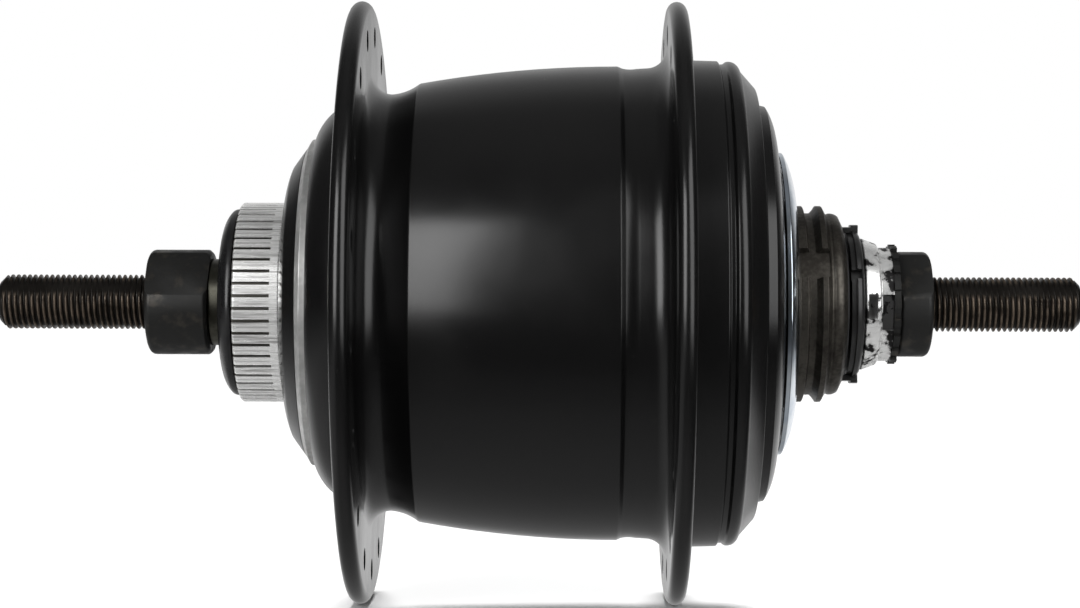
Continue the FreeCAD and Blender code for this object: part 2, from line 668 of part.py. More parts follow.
def brake_spline_ring():
    """A steel ring with axial teeth for a brake, and a smooth collar at its inner end."""
    collar = collar_ring_start - COLLAR_LENGTH
    body = turned((spline_start, BOSS_RADIUS + SEAT), (spline_start, SPLINE_RADIUS - 0.35),
                  (spline_start + 0.35, SPLINE_RADIUS), (collar_ring_start - 0.3, SPLINE_RADIUS),
                  (collar_ring_start, SPLINE_RADIUS - 0.3),
                  (collar_ring_start, BOSS_RADIUS + SEAT))
    grooves = [block(spline_start - 1, collar, SPLINE_RADIUS - SPLINE_DEPTH, SPLINE_RADIUS + 1,
                     SPLINE_GROOVE, 360.0 * i / SPLINE_TEETH) for i in range(SPLINE_TEETH)]
    return body.cut(Part.makeCompound(grooves))


def left_end_ring():
    """A bevelled steel ring seated in the left end of the shell."""
    start = end_ring_start
    end = end_ring_end
    return turned((start, END_RING_BORE), (start, END_RING_FACE), (start + END_RING_BEVEL, END_RING_RADIUS),
                  (end, END_RING_RADIUS), (end, END_RING_BORE))


def left_ball_cup():
    low, high = outer_race(left_ball_x, CONE_ORBIT, 1, 1.4)
    end = left_cup_end - SEAT
    return turned((spline_start, high[1]), high, low, (end, low[1]), (end, BEARING_CUP_RADIUS),
                  (spline_start, BEARING_CUP_RADIUS))


def clutch_cup():
    return tube(clutch_start, clutch_end, CUP_INNER, CUP_OUTER)


def right_cover_ring():
    """The ring that closes the shell; it holds the outer race of the driver's bearing."""
    low, high = outer_race(driver_ball_x, DRIVER_ORBIT, -1, 1.4)
    start = ring_end + COVER_SKIRT
    face = cover_face
    return turned((start, COVER_SEAT - SEAT), (face, COVER_SEAT - SEAT), (face, COVER_SEAT - 2.1),
                  (face + 0.4, COVER_SEAT - 2.5), (face + 1.8, COVER_SEAT - 2.8),
                  ((face + 2.7, COVER_SEAT - 4.5), (face + 3.3, COVER_SEAT - 7.1)),
                  (cover_end, DRIVER_ORBIT + 3.4), (cover_end, high[1]), high, low,
                  (low[0] - 1.2, low[1]), (low[0] - 1.2, DRIVER_ORBIT + 6.0), (start, COVER_SEAT - 3.5))


# Driver set

def notches(start, end):
    return Part.makeCompound(
        [sector(start, end, SPROCKET_SEAT_RADIUS - NOTCH_DEPTH, SPROCKET_SEAT_RADIUS + 1,
                NOTCH_ANGLE + 360.0 * i / SPROCKET_NOTCHES, NOTCH_SPAN / 2)
         for i in range(SPROCKET_NOTCHES)])


def driver():
    """The sprocket carrier: a dog disc, a tube, the inner ball race and the notched seat."""
    race_low, race_high = inner_race(driver_ball_x, DRIVER_ORBIT, 1, 1.8)
    cup_low, cup_high = outer_race(right_ball_x, CONE_ORBIT, -1, 1.4)
    seat = SPROCKET_SEAT_RADIUS
    groove = seat - NOTCH_DEPTH
    hollow = DRIVER_BORE + DRIVER_HOLLOW
    tube_radius = hollow + DRIVER_TUBE_WALL
    x = driver_seat_x
    body = turned(
        (disc_start, DRIVER_BORE), (disc_start, PLATE_RADIUS), (disc_end, PLATE_RADIUS),
        (disc_end, tube_radius), (driver_ball_x - 4.0, tube_radius),
        (race_low[0] - 0.4, race_low[1]), race_low, race_high, (cap_start, race_high[1]),
        (cap_start, seat + CAP_SHOULDER), (x - 0.6, seat + 0.6), (x - 0.2, seat), (x + 1.2, seat),
        (x + 1.5, groove), (x + 2.6, groove), ((x + 3.0, groove + 0.4), (x + 3.6, seat)), (x + 4.5, seat),
        (x + 5.1, groove + 0.1), ((x + 5.4, groove - 0.15), (x + 5.8, groove - 0.05)),
        ((driver_end - 1.4, groove - 0.1), (driver_end - 0.7, groove - 0.45)), (driver_end, groove - 1.9),
        (driver_end, cup_high[1]), cup_high, cup_low, (cup_low[0] - 0.4, cup_low[1]),
        (cup_low[0] - 0.4, hollow), (disc_end + 1.5, hollow), (disc_end + 1.5, DRIVER_BORE))
    dogs = [block(disc_start, disc_end, PLATE_RADIUS - 2, RING_OUTER - 0.2, DOG_WIDTH, 360.0 * i / DOGS)
            for i in range(DOGS)]
    return fused([body] + dogs).cut(notches(x - 0.4, x + 5.0))


def driver_dust_cap():
    """A dished sheet cover on the driver, in front of the cover ring."""
    seat = SPROCKET_SEAT_RADIUS + CAP_SHOULDER + SEAT
    front = driver_seat_x - 0.5
    sheet = DUST_CAP_SHEET
    return turned((cap_start + 0.05, DUST_CAP_RADIUS), (cap_start + sheet, DUST_CAP_RADIUS),
                  ((cap_start + sheet + 1.3, DUST_CAP_RADIUS - 3.0), (front, seat + 0.5)),
                  (front, seat), (front - sheet, seat),
                  ((cap_start + 1.0, DUST_CAP_RADIUS - 3.0), (cap_start + 0.05, DUST_CAP_RADIUS - 0.9)))


def driver_seal():
    start = driver_end + SEAT
    bore = SLEEVE_RADIUS + THIN_GAP
    end = start + SEAL_THICKNESS
    return turned((start, bore), (start, SEAL_RADIUS), (end - 0.2, SEAL_RADIUS - 0.05),
                  (end, SEAL_RADIUS - 0.3), (end, bore))


def ring_gear_first():
    teeth = ring_gear(first_starts[1], FACE_WIDTH)
    skirt = tube(first_end, ring_end, RING_ROOT, RING_OUTER)
    slots = [block(disc_start - SEAT, ring_end + 1, RING_ROOT - 1, RING_OUTER + 1, DOG_WIDTH + 2 * SEAT,
                   360.0 * i / DOGS) for i in range(DOGS)]
    groove = tube(snap_start, snap_end, RING_ROOT - 1, RING_ROOT + SNAP_DEPTH)
    return fused([teeth, skirt]).cut(Part.makeCompound(slots)).cut(groove)


def ring_snap_ring():
    ring = tube(snap_start + SEAT, snap_end - SEAT, RING_ROOT - SNAP_HEIGHT, RING_ROOT + SNAP_DEPTH - SEAT)
    return ring.cut(block(snap_start - 1, snap_end + 1, 0, 2 * RING_OUTER, SNAP_OPENING, 60))


# Carrier set

def pillar_rods(start, end, radius, turn):
    return [rod(start, end, radius, PILLAR_ORBIT, turn + 360.0 * i / PLANETS) for i in range(PLANETS)]


def carrier_frame():
    """The middle and right plates, with the pillars that join them and carry the left plate."""
    bore = AXLE_BODY_RADIUS + RUNNING
    plates = [tube(middle_plate, middle_plate_end, bore, PLATE_RADIUS),
              tube(right_plate, right_plate_end, bore, PLATE_RADIUS)]
    left = pillar_rods(left_plate_end, middle_plate, PILLAR_RADIUS, STAGE_TURN)
    right = pillar_rods(middle_plate_end, right_plate, PILLAR_RADIUS, 0)
    body = fused(plates + left + right)
    bores = pillar_rods(left_plate_end - 1, left_plate_end + SCREW_REACH + SLEEVE_GAP,
                        SCREW_RADIUS + SEAT, STAGE_TURN)
    bores += pin_rods(SECOND_ORBIT, 0, middle_plate - 1, middle_plate_end + 0.1, PIN_RADIUS + SEAT)
    bores += pin_rods(FIRST_ORBIT, STAGE_TURN, middle_plate - 0.1, right_plate_end + 1, PIN_RADIUS + SEAT)
    return body.cut(Part.makeCompound(bores))


def pin_rods(orbit, turn, start, end, radius):
    return [rod(start, end, radius, orbit, turn + 360.0 * i / PLANETS) for i in range(PLANETS)]


def carrier_left_plate():
    body = tube(CARRIER_START, left_plate_end, AXLE_BODY_RADIUS + RUNNING, PLATE_RADIUS)
    bores = pin_rods(SECOND_ORBIT, 0, CARRIER_START - 1, left_plate_end + 1, PIN_RADIUS + SEAT)
    bores += pillar_rods(CARRIER_START - 1, left_plate_end + 1, SCREW_RADIUS + SEAT, STAGE_TURN)
    return body.cut(Part.makeCompound(bores))


def carrier_screws():
    return Part.makeCompound(pillar_rods(CARRIER_START, left_plate_end + SCREW_REACH, SCREW_RADIUS,
                                         STAGE_TURN))


def planet_pins(orbit, turn, start, end):
    return Part.makeCompound(pin_rods(orbit, turn, start, end, PIN_RADIUS))


# Output ring set

def ring_gear_second():
    """The output ring, with the disc and hub that carry the clutch cam."""
    teeth = ring_gear(second_starts[0], FACE_WIDTH)
    bore = AXLE_BODY_RADIUS + RUNNING
    hub = turned((clutch_start, bore), (clutch_start, CLUTCH_HUB_RADIUS),
                 (ring_disc_start, CLUTCH_HUB_RADIUS), (ring_disc_start, RING_OUTER),
                 (second_starts[0], RING_OUTER), (second_starts[0], RING_ROOT),
                 (ring_disc_start + RING_DISC, RING_ROOT), (ring_disc_start + RING_DISC, bore))
    return fused([teeth, hub])


def clutch_cam():
    """A cam with one flat under each roller."""
    flat = ROLLER_ORBIT - ROLLER_RADIUS - RUNNING
    corner = flat / math.cos(math.pi / ROLLERS)
    outline = Part.makePolygon([around(clutch_start, corner, (i + 0.5) * 360.0 / ROLLERS)
                                for i in range(ROLLERS + 1)])
    hole = circle_wire(clutch_start, CLUTCH_HUB_RADIUS + SEAT)
    return plate([outline, hole], CLUTCH_WIDTH + 0.5 - SEAT)


def clutch_rollers():
    return Part.makeCompound([rod(clutch_start + 0.1, clutch_end - 0.1, ROLLER_RADIUS, ROLLER_ORBIT,
                                  360.0 * i / ROLLERS) for i in range(ROLLERS)])


def roller_cage():
    """A thin ring with a slot for each roller."""
    flat = ROLLER_ORBIT - ROLLER_RADIUS - RUNNING
    inner = flat / math.cos(math.pi / ROLLERS) + 0.2
    ring = tube(clutch_start + 0.1, clutch_end + 0.4, inner, CUP_INNER - 0.4)
    slots = [rod(clutch_start - 1, clutch_end, ROLLER_RADIUS + CAGE_GAP, ROLLER_ORBIT, 360.0 * i / ROLLERS)
             for i in range(ROLLERS)]
    return ring.cut(Part.makeCompound(slots))


# Shift set

def shift_key(slack=0.0):
    return sector(shift_start + 0.5 - slack, shift_start + 1.6 + slack, CAM_RADIUS - 0.5 - slack,
                  RING_BORE + 1.4 + slack, KEY_REST_ANGLE, KEY_HALF_ANGLE + slack)


def shift_ring():
    """The ring that a cable pulley turns, with a lobe above and below."""
    top = SHIFT_RING_RADIUS
    x = shift_start
    body = turned((x, RING_BORE), (x, top - 0.6), (x + 0.8, top - 0.6), (x + 0.9, top),
                  (x + 1.6, top - 0.2), ((x + 1.9, top - 0.5), (shift_end - 0.1, top - 1.1)),
                  (shift_end, top - 1.4), (shift_end, RING_BORE))
    lobes = [sector(x + 0.8, x + 2.0, top - 1.0, SHIFT_LOBE_RADIUS, angle, 8.0) for angle in (92, 268)]
    lugs = [block(x - 0.6, x + 0.9, top - 0.5, SHIFT_LOBE_RADIUS - 0.4, 1.8, angle)
            for angle in (84, 96, 264, 276)]
    slot = block(x - 1, x + 1.8, top - 1.6, top + 1, 1.8, 156)
    return fused([body] + lobes + lugs).cut(slot).cut(shift_key(SEAT))


def cam_tube():
    """The tube under the right cone; the lobes at its inner end lift the sun pawls."""
    body = tube(cam_start, cam_end, CAM_BORE, CAM_RADIUS)
    lobes = [sector(cam_start, cam_start + CAM_LOBE_LENGTH, CAM_RADIUS - 0.4, DRIVER_BORE - THIN_GAP, angle,
                    CAM_LOBE_SPAN / 2)
             for angle in (0, 120, 240)]
    return fused([body] + lobes).cut(shift_key(SEAT))


def every_node():
    """Each node's name with its shape."""
    second_phases = (0, 0, 0)
    first_phases = (180.0 / FIRST_PLANET_TEETH[0], 0)
    nodes = {
        "axle": axle(),
        "left_lock_nut": lock_nut(left_nut_end, -OVER_LOCKNUTS / 2),
        "right_lock_nut": lock_nut(right_nut_start, OVER_LOCKNUTS / 2),
        "left_cone": left_cone(),
        "left_dust_cap": left_dust_cap(),
        "left_spacer": left_spacer(),
        "right_cone": right_cone(),
        "right_tooth_washer": right_tooth_washer(),
        "first_locked_sun": locked_sun(first_starts[0], FIRST_SUN_TEETH),
        "second_locked_sun": locked_sun(second_starts[1], SECOND_LOCKED_SUN_TEETH),
        "sun_pawls": sun_pawls(),
        "thrust_washers": thrust_washers(),
        "carrier_circlip": carrier_circlip(),
        "return_spring": return_spring(),
        "hub_shell": hub_shell(),
        "brake_spline_ring": brake_spline_ring(),
        "left_end_ring": left_end_ring(),
        "left_ball_cup": left_ball_cup(),
        "clutch_cup": clutch_cup(),
        "right_cover_ring": right_cover_ring(),
        "driver": driver(),
        "driver_dust_cap": driver_dust_cap(),
        "driver_seal": driver_seal(),
        "first_ring_gear": ring_gear_first(),
        "ring_snap_ring": ring_snap_ring(),
        "carrier_frame": carrier_frame(),
        "carrier_left_plate": carrier_left_plate(),
        "carrier_screws": carrier_screws(),
        "first_planet_pins": planet_pins(FIRST_ORBIT, STAGE_TURN, middle_plate, right_plate_end),
        "second_planet_pins": planet_pins(SECOND_ORBIT, 0, CARRIER_START, middle_plate_end),
        "second_ring_gear": ring_gear_second(),
        "clutch_cam": clutch_cam(),
        "clutch_rollers": clutch_rollers(),
        "roller_cage": roller_cage(),
        "large_free_sun": gear(second_starts[0], FACE_WIDTH, SECOND_FREE_SUN_TEETH[0],
                               AXLE_BODY_RADIUS + RUNNING, 180.0 / SECOND_FREE_SUN_TEETH[0]),
        "small_free_sun": gear(second_starts[2], FACE_WIDTH, SECOND_FREE_SUN_TEETH[1],
                               AXLE_BODY_RADIUS + RUNNING),
        "left_balls": balls(left_ball_x, CONE_ORBIT, CONE_BALLS),
        "left_ball_cage": ball_cage(left_ball_x, CONE_ORBIT, CONE_BALLS),
        "right_balls": balls(right_ball_x, CONE_ORBIT, CONE_BALLS),
        "right_ball_cage": ball_cage(right_ball_x, CONE_ORBIT, CONE_BALLS),
        "driver_balls": balls(driver_ball_x, DRIVER_ORBIT, DRIVER_BALLS),
        "driver_ball_cage": ball_cage(driver_ball_x, DRIVER_ORBIT, DRIVER_BALLS),
        "shift_ring": shift_ring(),
        "shift_key": shift_key(),
        "cam_tube": cam_tube(),
    }
    for i in range(PLANETS):
        turn = 360.0 * i / PLANETS
        nodes["first_planet_%d" % (i + 1)] = planet(first_starts, FIRST_PLANET_TEETH, first_phases,
                                                    FIRST_ORBIT, STAGE_TURN + turn)
        nodes["second_planet_%d" % (i + 1)] = planet(second_starts, SECOND_PLANET_TEETH, second_phases,
                                                     SECOND_ORBIT, turn)
    return nodes


def main():
    os.makedirs("parts", exist_ok=True)
    for name, shape in every_node().items():
        shape.exportStep("parts/%s.step" % name)


main()
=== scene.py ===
import json
import math

import bmesh
import bpy
from mathutils import Matrix, Vector

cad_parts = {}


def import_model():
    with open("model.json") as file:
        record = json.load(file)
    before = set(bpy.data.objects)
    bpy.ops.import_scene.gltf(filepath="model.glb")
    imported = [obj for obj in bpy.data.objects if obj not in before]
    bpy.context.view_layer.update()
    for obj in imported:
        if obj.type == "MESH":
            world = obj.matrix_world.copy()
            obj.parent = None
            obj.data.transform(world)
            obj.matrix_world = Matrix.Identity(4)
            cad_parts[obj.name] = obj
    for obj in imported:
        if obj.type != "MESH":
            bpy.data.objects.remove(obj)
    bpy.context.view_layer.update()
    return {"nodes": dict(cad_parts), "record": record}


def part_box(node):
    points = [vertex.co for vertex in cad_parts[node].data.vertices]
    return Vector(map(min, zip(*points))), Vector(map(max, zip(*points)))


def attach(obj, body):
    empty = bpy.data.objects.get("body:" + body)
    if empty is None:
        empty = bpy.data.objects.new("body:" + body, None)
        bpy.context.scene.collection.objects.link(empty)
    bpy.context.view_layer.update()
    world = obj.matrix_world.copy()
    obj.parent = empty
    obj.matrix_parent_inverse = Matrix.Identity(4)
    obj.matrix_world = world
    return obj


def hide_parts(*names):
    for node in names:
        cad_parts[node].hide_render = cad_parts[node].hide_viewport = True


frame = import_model()

# Sizes below are in millimetres, in the frame of the record: X along the axle, Y away from the viewer, Z up.
# The ends and heights of the CAD nodes and the places of the mounts come from the frame, and the outlines are
# written as steps from them.
# Angles about X are in degrees, from +Y towards +Z, so that 180 faces the viewer and 90 is the top.
MM = 0.001

# Steps around a turned shape: one that is seen large, an ordinary one and a small hole
FINE = 256
ROUND = 128
SMALL = 32

# Steps along an arc of an outline, around a rounded corner, and along a part of a ring
ARC_STEPS = 10
BEND_STEPS = 4
SECTOR_STEPS = 16

# Edges sharper than these angles are drawn crisp, or bevelled
CRISP_ANGLE = 32.0
THREAD_CRISP_ANGLE = 50.0
BEVEL_ANGLE = 35.0

# Between neighbouring pieces, and how far a cutter reaches past the surface that it opens
SEAT = 0.02
RUNNING = 0.06
THIN_GAP = 0.3
REACH = 1.0

# Edges. The middle of a quarter round lies at this share of its radius from the corner.
EDGE = 0.12
QUARTER = 0.3

# Axle: the cut thread, its flats and the plain middle. Crest and root are shares of the pitch.
THREAD_PITCH = 0.977
THREAD_DEPTH = 0.58
THREAD_CREST = 0.2
THREAD_ROOT = 0.22
THREAD_STEPS = 10
THREAD_INSET = 2.0
TIP_CHAMFER = 1.2
CENTRE_HOLE = 1.1
CENTRE_DEPTH = 0.9
FLAT_ANGLE = 142.0
FLAT_SETBACK = 1.2
FLAT_STEP = 0.01
AXLE_ACROSS_FLATS = 8.4
AXLE_BODY_RADIUS = 6.5
AXLE_COLLAR = 1.3
AXLE_SHOULDER = 1.0
CIRCLIP_GROOVE = 0.7

# Lock nuts
NUT_ACROSS_FLATS = 15.7
NUT_EDGE = 1.1
NUT_BACK_EDGE = 0.55
NUT_MOUTH = 0.6
NUT_BACK_MOUTH = 0.5

# Left cone and its dust cap
CONE_NECK = 7.5
CONE_SHOULDER = 11.4
CONE_SHOULDER_LENGTH = 1.4
CONE_NOSE = 7.0
CAP_SIDE = 1.2
CAP_FACE = 6.5
CAP_STEP = 0.25

# Brake spline
SPLINE_TEETH = 51
SPLINE_DEPTH = 0.8
SPLINE_GROOVE = 0.55
SPLINE_COLLAR = 1.7
SPLINE_EDGE = 0.35
SPLINE_BACK_EDGE = 0.3

# Shell, from the left: boss and lip, dish, flanges, barrel, and the rim that takes the cover ring
BEARING_CUP_RADIUS = 13.78
BOSS_RADIUS = 14.88
LIP_RADIUS = 18.6
LIP_DEPTH = 0.7
LIP_WALL = 1.0
AXLE_HOLE = 11.18
RING_GAP = 0.1
FLANGE_THICKNESS = 3.2
FLANGE_FILLET = 3.4
COUNTERSINK = 0.45
SPOKE_PHASE = 108.0
NECK_RADIUS = 36.1
NECK_BORE = 33.2
BARREL_TOP = 41.0
CREASE_PLACE = 9.9
CREASE_HEIGHT = 1.9
SWELL_PLACE = 10.1
VALLEY_DEPTH = 0.3
RIM_RADIUS = 42.1
RIM_GROOVE_DEPTH = 0.7
COVER_SEAT = 37.0
COVER_SEAT_MOUTH = 0.4

# Bevelled ring in the left end of the shell
END_RING_BORE_DEPTH = 3.0
END_RING_DEPTH = 1.4
END_RING_BEVEL = 0.8

# Cover ring at the right, with the race of the large bearing. The race begins, ends and stops at these
# distances from the right end.
COVER_FACE = 3.8
COVER_LIP = 26.6
COVER_BORE = 25.73
COVER_RACE = 23.53
COVER_RACE_PLACES = (4.03, 6.23, 7.43)
COVER_BACK = 29.2
COVER_SKIRT = 3.5

# Zinc cap in front of the driver
CAP_SHOULDER = 1.6
DUST_CAP_SHEET = 0.8
DUST_CAP_BEND = 3.0

# Driver: dog disc, hollow tube, races of both bearings, and the stepped sprocket seat with its notches. The
# races are given by their lowest and highest radius, and the places of the small one are distances from the
# right end.
DRIVER_BORE = 8.0
DRIVER_DISC = 3.5
DRIVER_DISC_RADIUS = 28.2
DRIVER_TUBE = 15.2
DRIVER_HOLLOW = 11.6
DRIVER_WEB = 5.0
DOGS = 3
DOG_WIDTH = 8.0
DOG_OVERLAP = 2.0
DOG_GAP = 0.2
LARGE_RACE = (19.67, 22.67)
SMALL_RACE = (10.53, 12.73)
SMALL_RACE_PLACES = (5.63, 7.83, 8.23)
SEAT_PLACE = 0.5
NOTCHES = 3
NOTCH_ANGLE = 155.5
NOTCH_HALF = 9.0
NOTCH_DEPTH = 1.25

# Shift ring, turned by a cable pulley
SHIFT_RING_PLACE = 0.4
SHIFT_LOBES = (92.0, 268.0)
SHIFT_LOBE_HALF = 8.0
SHIFT_LOBE_HEIGHT = 0.85
SHIFT_LUGS = (84.0, 96.0, 264.0, 276.0)
SHIFT_LUG_WIDTH = 1.8
SHIFT_LUG_STEP = 0.4
SHIFT_SLOT_ANGLE = 156.0
SHIFT_SLOT_WIDTH = 1.8

# Right cone: the sleeve with its race and the window of the shift key, and the bright head with its recesses.
# The race begins at the first place from the left end. The other two are the ends of its slope and of its
# land from there.
SLEEVE_RADIUS = 7.88
SLEEVE_BORE = 6.38
CONE_END = 7.72
CONE_RACE = 9.67
CONE_RACE_PLACES = (3.98, 1.95, 2.85)
WINDOW_MIDDLE = 138.5
WINDOW_HALF = 90.5
WINDOW_STEPS = 48
WINDOW_MARGIN = 0.5
HEAD_GAP = 0.2
HEAD_WEB = 0.8
HEAD_TAPER = 0.8
HEAD_STEP = 0.8
HEAD_STEP_LENGTH = 2.1
HEAD_SLOTS = 3
WRENCH_SLOT_ANGLE = 182.0
WRENCH_SLOT_WIDTH = 4.2
WRENCH_SLOT_DEPTH = 0.8
WASHER_SLOT_ANGLE = 188.6
WASHER_SLOT_WIDTH = 6.1
WASHER_SLOT_DEPTH = 1.6

# Toothed washer
WASHER_TEETH = 20
WASHER_TOOTH_HEIGHT = 0.5
WASHER_TOOTH_WIDTH = 1.5

# Colours, as linear red, green and blue
PAINT_DARK = (0.0022, 0.0022, 0.0024)
PAINT_PALE = (0.0036, 0.0035, 0.0034)
PAINT_DUST = (0.03, 0.029, 0.027)
THREAD_OIL = (0.014, 0.012, 0.010)
# Brown of the painted highlight on the thread crests
THREAD_HIGHLIGHT_BROWN = (0.16, 0.125, 0.095)
PLATING = (0.88, 0.88, 0.87)
# Worn tone of the plating, also the painted dark reflection line on the spline teeth
PLATING_WORN_AND_REFLECTION = (0.36, 0.355, 0.35)
# Painted shade in the grooves of the spline
PLATING_GROOVE_SHADE = (0.10, 0.095, 0.085)
GROUND_STEEL = (0.78, 0.78, 0.77)
# Old grease, also the darker tone inside the recesses of the cone head
GREASE_AND_RECESS_DARK = (0.012, 0.011, 0.011)
FLOOR_TONES = ((0.86, 0.86, 0.86), (0.88, 0.88, 0.88))
WHITE = (1.0, 1.0, 1.0)

# Camera: focal length, width of the picture, place in millimetres, and yaw, pitch and roll in degrees
FOCAL_LENGTH = 84.34
PICTURE_WIDTH = 36.0
EYE = (4.8, -440.0, 0.0)
EYE_TURNS = (0.598, 0.0204, 0.185)

# Light of the bright wall behind and of the dim room, as pairs of the rise of a direction (-1 is down, 1 up)
# and its brightness, and the extra glow low at the left
WALL_LEVELS = ((-0.85, 0.31), (-0.54, 0.32), (-0.05, 1.0), (0.28, 0.58), (0.77, 0.30), (0.94, 0.17))
ROOM_LEVELS = ((-1.0, 0.32), (-0.86, 0.26), (-0.68, 0.15), (-0.45, 0.05), (0.0, 0.03), (0.45, 0.06),
               (0.85, 0.11), (1.0, 0.18))
LEFT_GLOW = 0.35

# Half the width of the floor, in metres
FLOOR_HALF = 6.0

# Sockets of a colour mix node, which has several of each name
MIX_SHARE, MIX_FIRST, MIX_SECOND, MIX_RESULT = 0, 6, 7, 2


# Places taken from the frame

def span(node):
    """Left end, right end and height of a CAD node above the axle line."""
    low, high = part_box(node)
    return low.x / MM, high.x / MM, high.z / MM


def mount(name):
    """The place along X and the sizes of a mount in the record."""
    entry = [m for m in frame["record"]["mounts"] if m["name"] == name][0]
    return entry["pos_m"][0] / MM, entry["dims"]


def thread_top():
    """The radius of the axle thread over its crests."""
    return mount("left_axle_end")[1]["r_mm"]


# Outlines, as (x, radius) pairs

def arc(start, middle, end):
    """Points after the start, up to the end, on the circle through all three."""
    (ax, ay), (bx, by), (cx, cy) = start[:2], middle[:2], end[:2]
    double = 2 * (ax * (by - cy) + bx * (cy - ay) + cx * (ay - by))
    a, b, c = ax * ax + ay * ay, bx * bx + by * by, cx * cx + cy * cy
    x = (a * (by - cy) + b * (cy - ay) + c * (ay - by)) / double
    y = (a * (cx - bx) + b * (ax - cx) + c * (bx - ax)) / double
    radius = math.hypot(ax - x, ay - y)
    first = math.atan2(ay - y, ax - x)
    half = (math.atan2(by - y, bx - x) - first) % (2 * math.pi)
    whole = (math.atan2(cy - y, cx - x) - first) % (2 * math.pi)
    if half > whole:
        whole -= 2 * math.pi
    points = []
    for i in range(1, ARC_STEPS + 1):
        angle = first + whole * i / ARC_STEPS
        points.append((x + radius * math.cos(angle), y + radius * math.sin(angle)))
    points[-1] = tuple(end)
    return points


def bend(before, corner, after):
    """The corner rounded by its third value, with a support point each side to keep flats flat."""
    here = Vector(corner[:2])
    arms = [Vector(other[:2]) - here for other in (before, after)]
    reach = [min(corner[2], 0.42 * arm.length) for arm in arms]
    near = [here + arm.normalized() * r for arm, r in zip(arms, reach)]
    far = [here + arm.normalized() * min(1.3 * r, 0.48 * arm.length) for arm, r in zip(arms, reach)]
    points = [far[0]]
    for i in range(BEND_STEPS + 1):
        t = i / BEND_STEPS
        points.append((1 - t) ** 2 * near[0] + 2 * t * (1 - t) * here + t * t * near[1])
    points.append(far[1])
    return [tuple(point) for point in points]


def path(*steps):
    """A closed outline. A step is a corner (x, radius[, rounding]) or a pair of corners for an arc."""
    corners = []
    for step in steps:
        if isinstance(step[0], tuple):
            corners += arc(corners[-1], step[0], step[1])
        else:
            corners.append(step)
    points = []
    for i, corner in enumerate(corners):
        if len(corner) == 2:
            points.append(corner)
        else:
            points += bend(corners[i - 1], corner, corners[(i + 1) % len(corners)])
    return points


# Shapes, as lists of points and faces

def around(x, radius, turn):
    """The point at a radius and an angle in radians about the axle."""
    return Vector((x, radius * math.cos(turn), radius * math.sin(turn))) * MM


def skin(rings):
    """A shape through rings of points, closed from the last to the first. One point is a centre."""
    points = []
    starts = []
    for ring in rings:
        starts.append(len(points))
        points += ring
    faces = []
    for i, ring in enumerate(rings):
        other = (i + 1) % len(rings)
        count = max(len(ring), len(rings[other]))
        for j in range(count if count > 1 else 0):
            k = (j + 1) % count
            corners = [starts[i] + j % len(ring), starts[other] + j % len(rings[other]),
                       starts[other] + k % len(rings[other]), starts[i] + k % len(ring)]
            faces.append(list(dict.fromkeys(corners)))
    return points, faces


def revolve(outline, segments=ROUND, orbit=0.0, angle=0.0):
    """An outline turned about the axle, or about a line beside it."""
    centre = around(0.0, orbit, math.radians(angle))
    rings = []
    for x, radius in outline:
        turns = [2 * math.pi * i / segments for i in range(segments)] if radius > 0.001 else [0.0]
        rings.append([centre + around(x, radius, turn) for turn in turns])
    return skin(rings)


def block(start, end, low, high, width, angle):
    """A block that stands out radially from one radius to another."""
    turn = Matrix.Rotation(math.radians(angle), 3, "X")
    rings = []
    for x in (start, end):
        flat = [(low, -width / 2), (high, -width / 2), (high, width / 2), (low, width / 2)]
        rings.append([turn @ (Vector((x, y, z)) * MM) for y, z in flat])
    return box_faces(rings)


def sector(start, end, inner, outer, middle, half, steps=SECTOR_STEPS):
    """Part of a ring about the axle, up to a half angle each side of its middle."""
    turns = [math.radians(middle - half + 2 * half * i / steps) for i in range(steps + 1)]
    rings = []
    for x in (start, end):
        rings.append([around(x, inner, t) for t in turns] + [around(x, outer, t) for t in reversed(turns)])
    return box_faces(rings)


def box_faces(rings):
    """A shape between two matching outlines, with flat ends."""
    count = len(rings[0])
    sides = [[j, (j + 1) % count, count + (j + 1) % count, count + j] for j in range(count)]
    return rings[0] + rings[1], sides + [list(range(count)), list(range(count, 2 * count))]


def merged(shapes):
    """Several shapes as one."""
    points = []
    faces = []
    for more_points, more_faces in shapes:
        faces += [[len(points) + i for i in face] for face in more_faces]
        points += more_points
    return points, faces


# Objects

def crisp(mesh, angle):
    """Smooth shading that breaks at edges sharper than the angle."""
    mesh.shade_smooth()
    mesh.set_sharp_from_angle(angle=math.radians(angle))


def piece(name, shape, sharp=CRISP_ANGLE):
    """A new object of a shape, with its faces turned outwards."""
    mesh = bpy.data.meshes.new(name)
    mesh.from_pydata(shape[0], [], shape[1])
    work = bmesh.new()
    work.from_mesh(mesh)
    bmesh.ops.recalc_face_normals(work, faces=work.faces)
    work.to_mesh(mesh)
    work.free()
    crisp(mesh, sharp)
    thing = bpy.data.objects.new(name, mesh)
    bpy.context.scene.collection.objects.link(thing)
    return thing


def settle(thing):
    """Puts the modifiers of an object into its mesh."""
    bpy.context.view_layer.update()
    graph = bpy.context.evaluated_depsgraph_get()
    mesh = bpy.data.meshes.new_from_object(thing.evaluated_get(graph))
    thing.modifiers.clear()
    thing.data = mesh
    mesh.name = thing.name
    crisp(mesh, CRISP_ANGLE)


def carve(thing, cutters, operation="DIFFERENCE"):
    """Cuts the shapes out of an object, or joins them to it."""
    tool = piece(thing.name + "_tool", merged(cutters))
    change = thing.modifiers.new("cut", "BOOLEAN")
    change.operation = operation
    change.solver = "EXACT"
    change.object = tool
    settle(thing)
    bpy.data.objects.remove(tool)


def bevel(thing, width, segments=2):
    """Breaks the sharp edges of an object."""
    change = thing.modifiers.new("bevel", "BEVEL")
    change.width = width * MM
    change.segments = segments
    change.limit_method = "ANGLE"
    change.angle_limit = math.radians(BEVEL_ANGLE)
    settle(thing)


# Materials

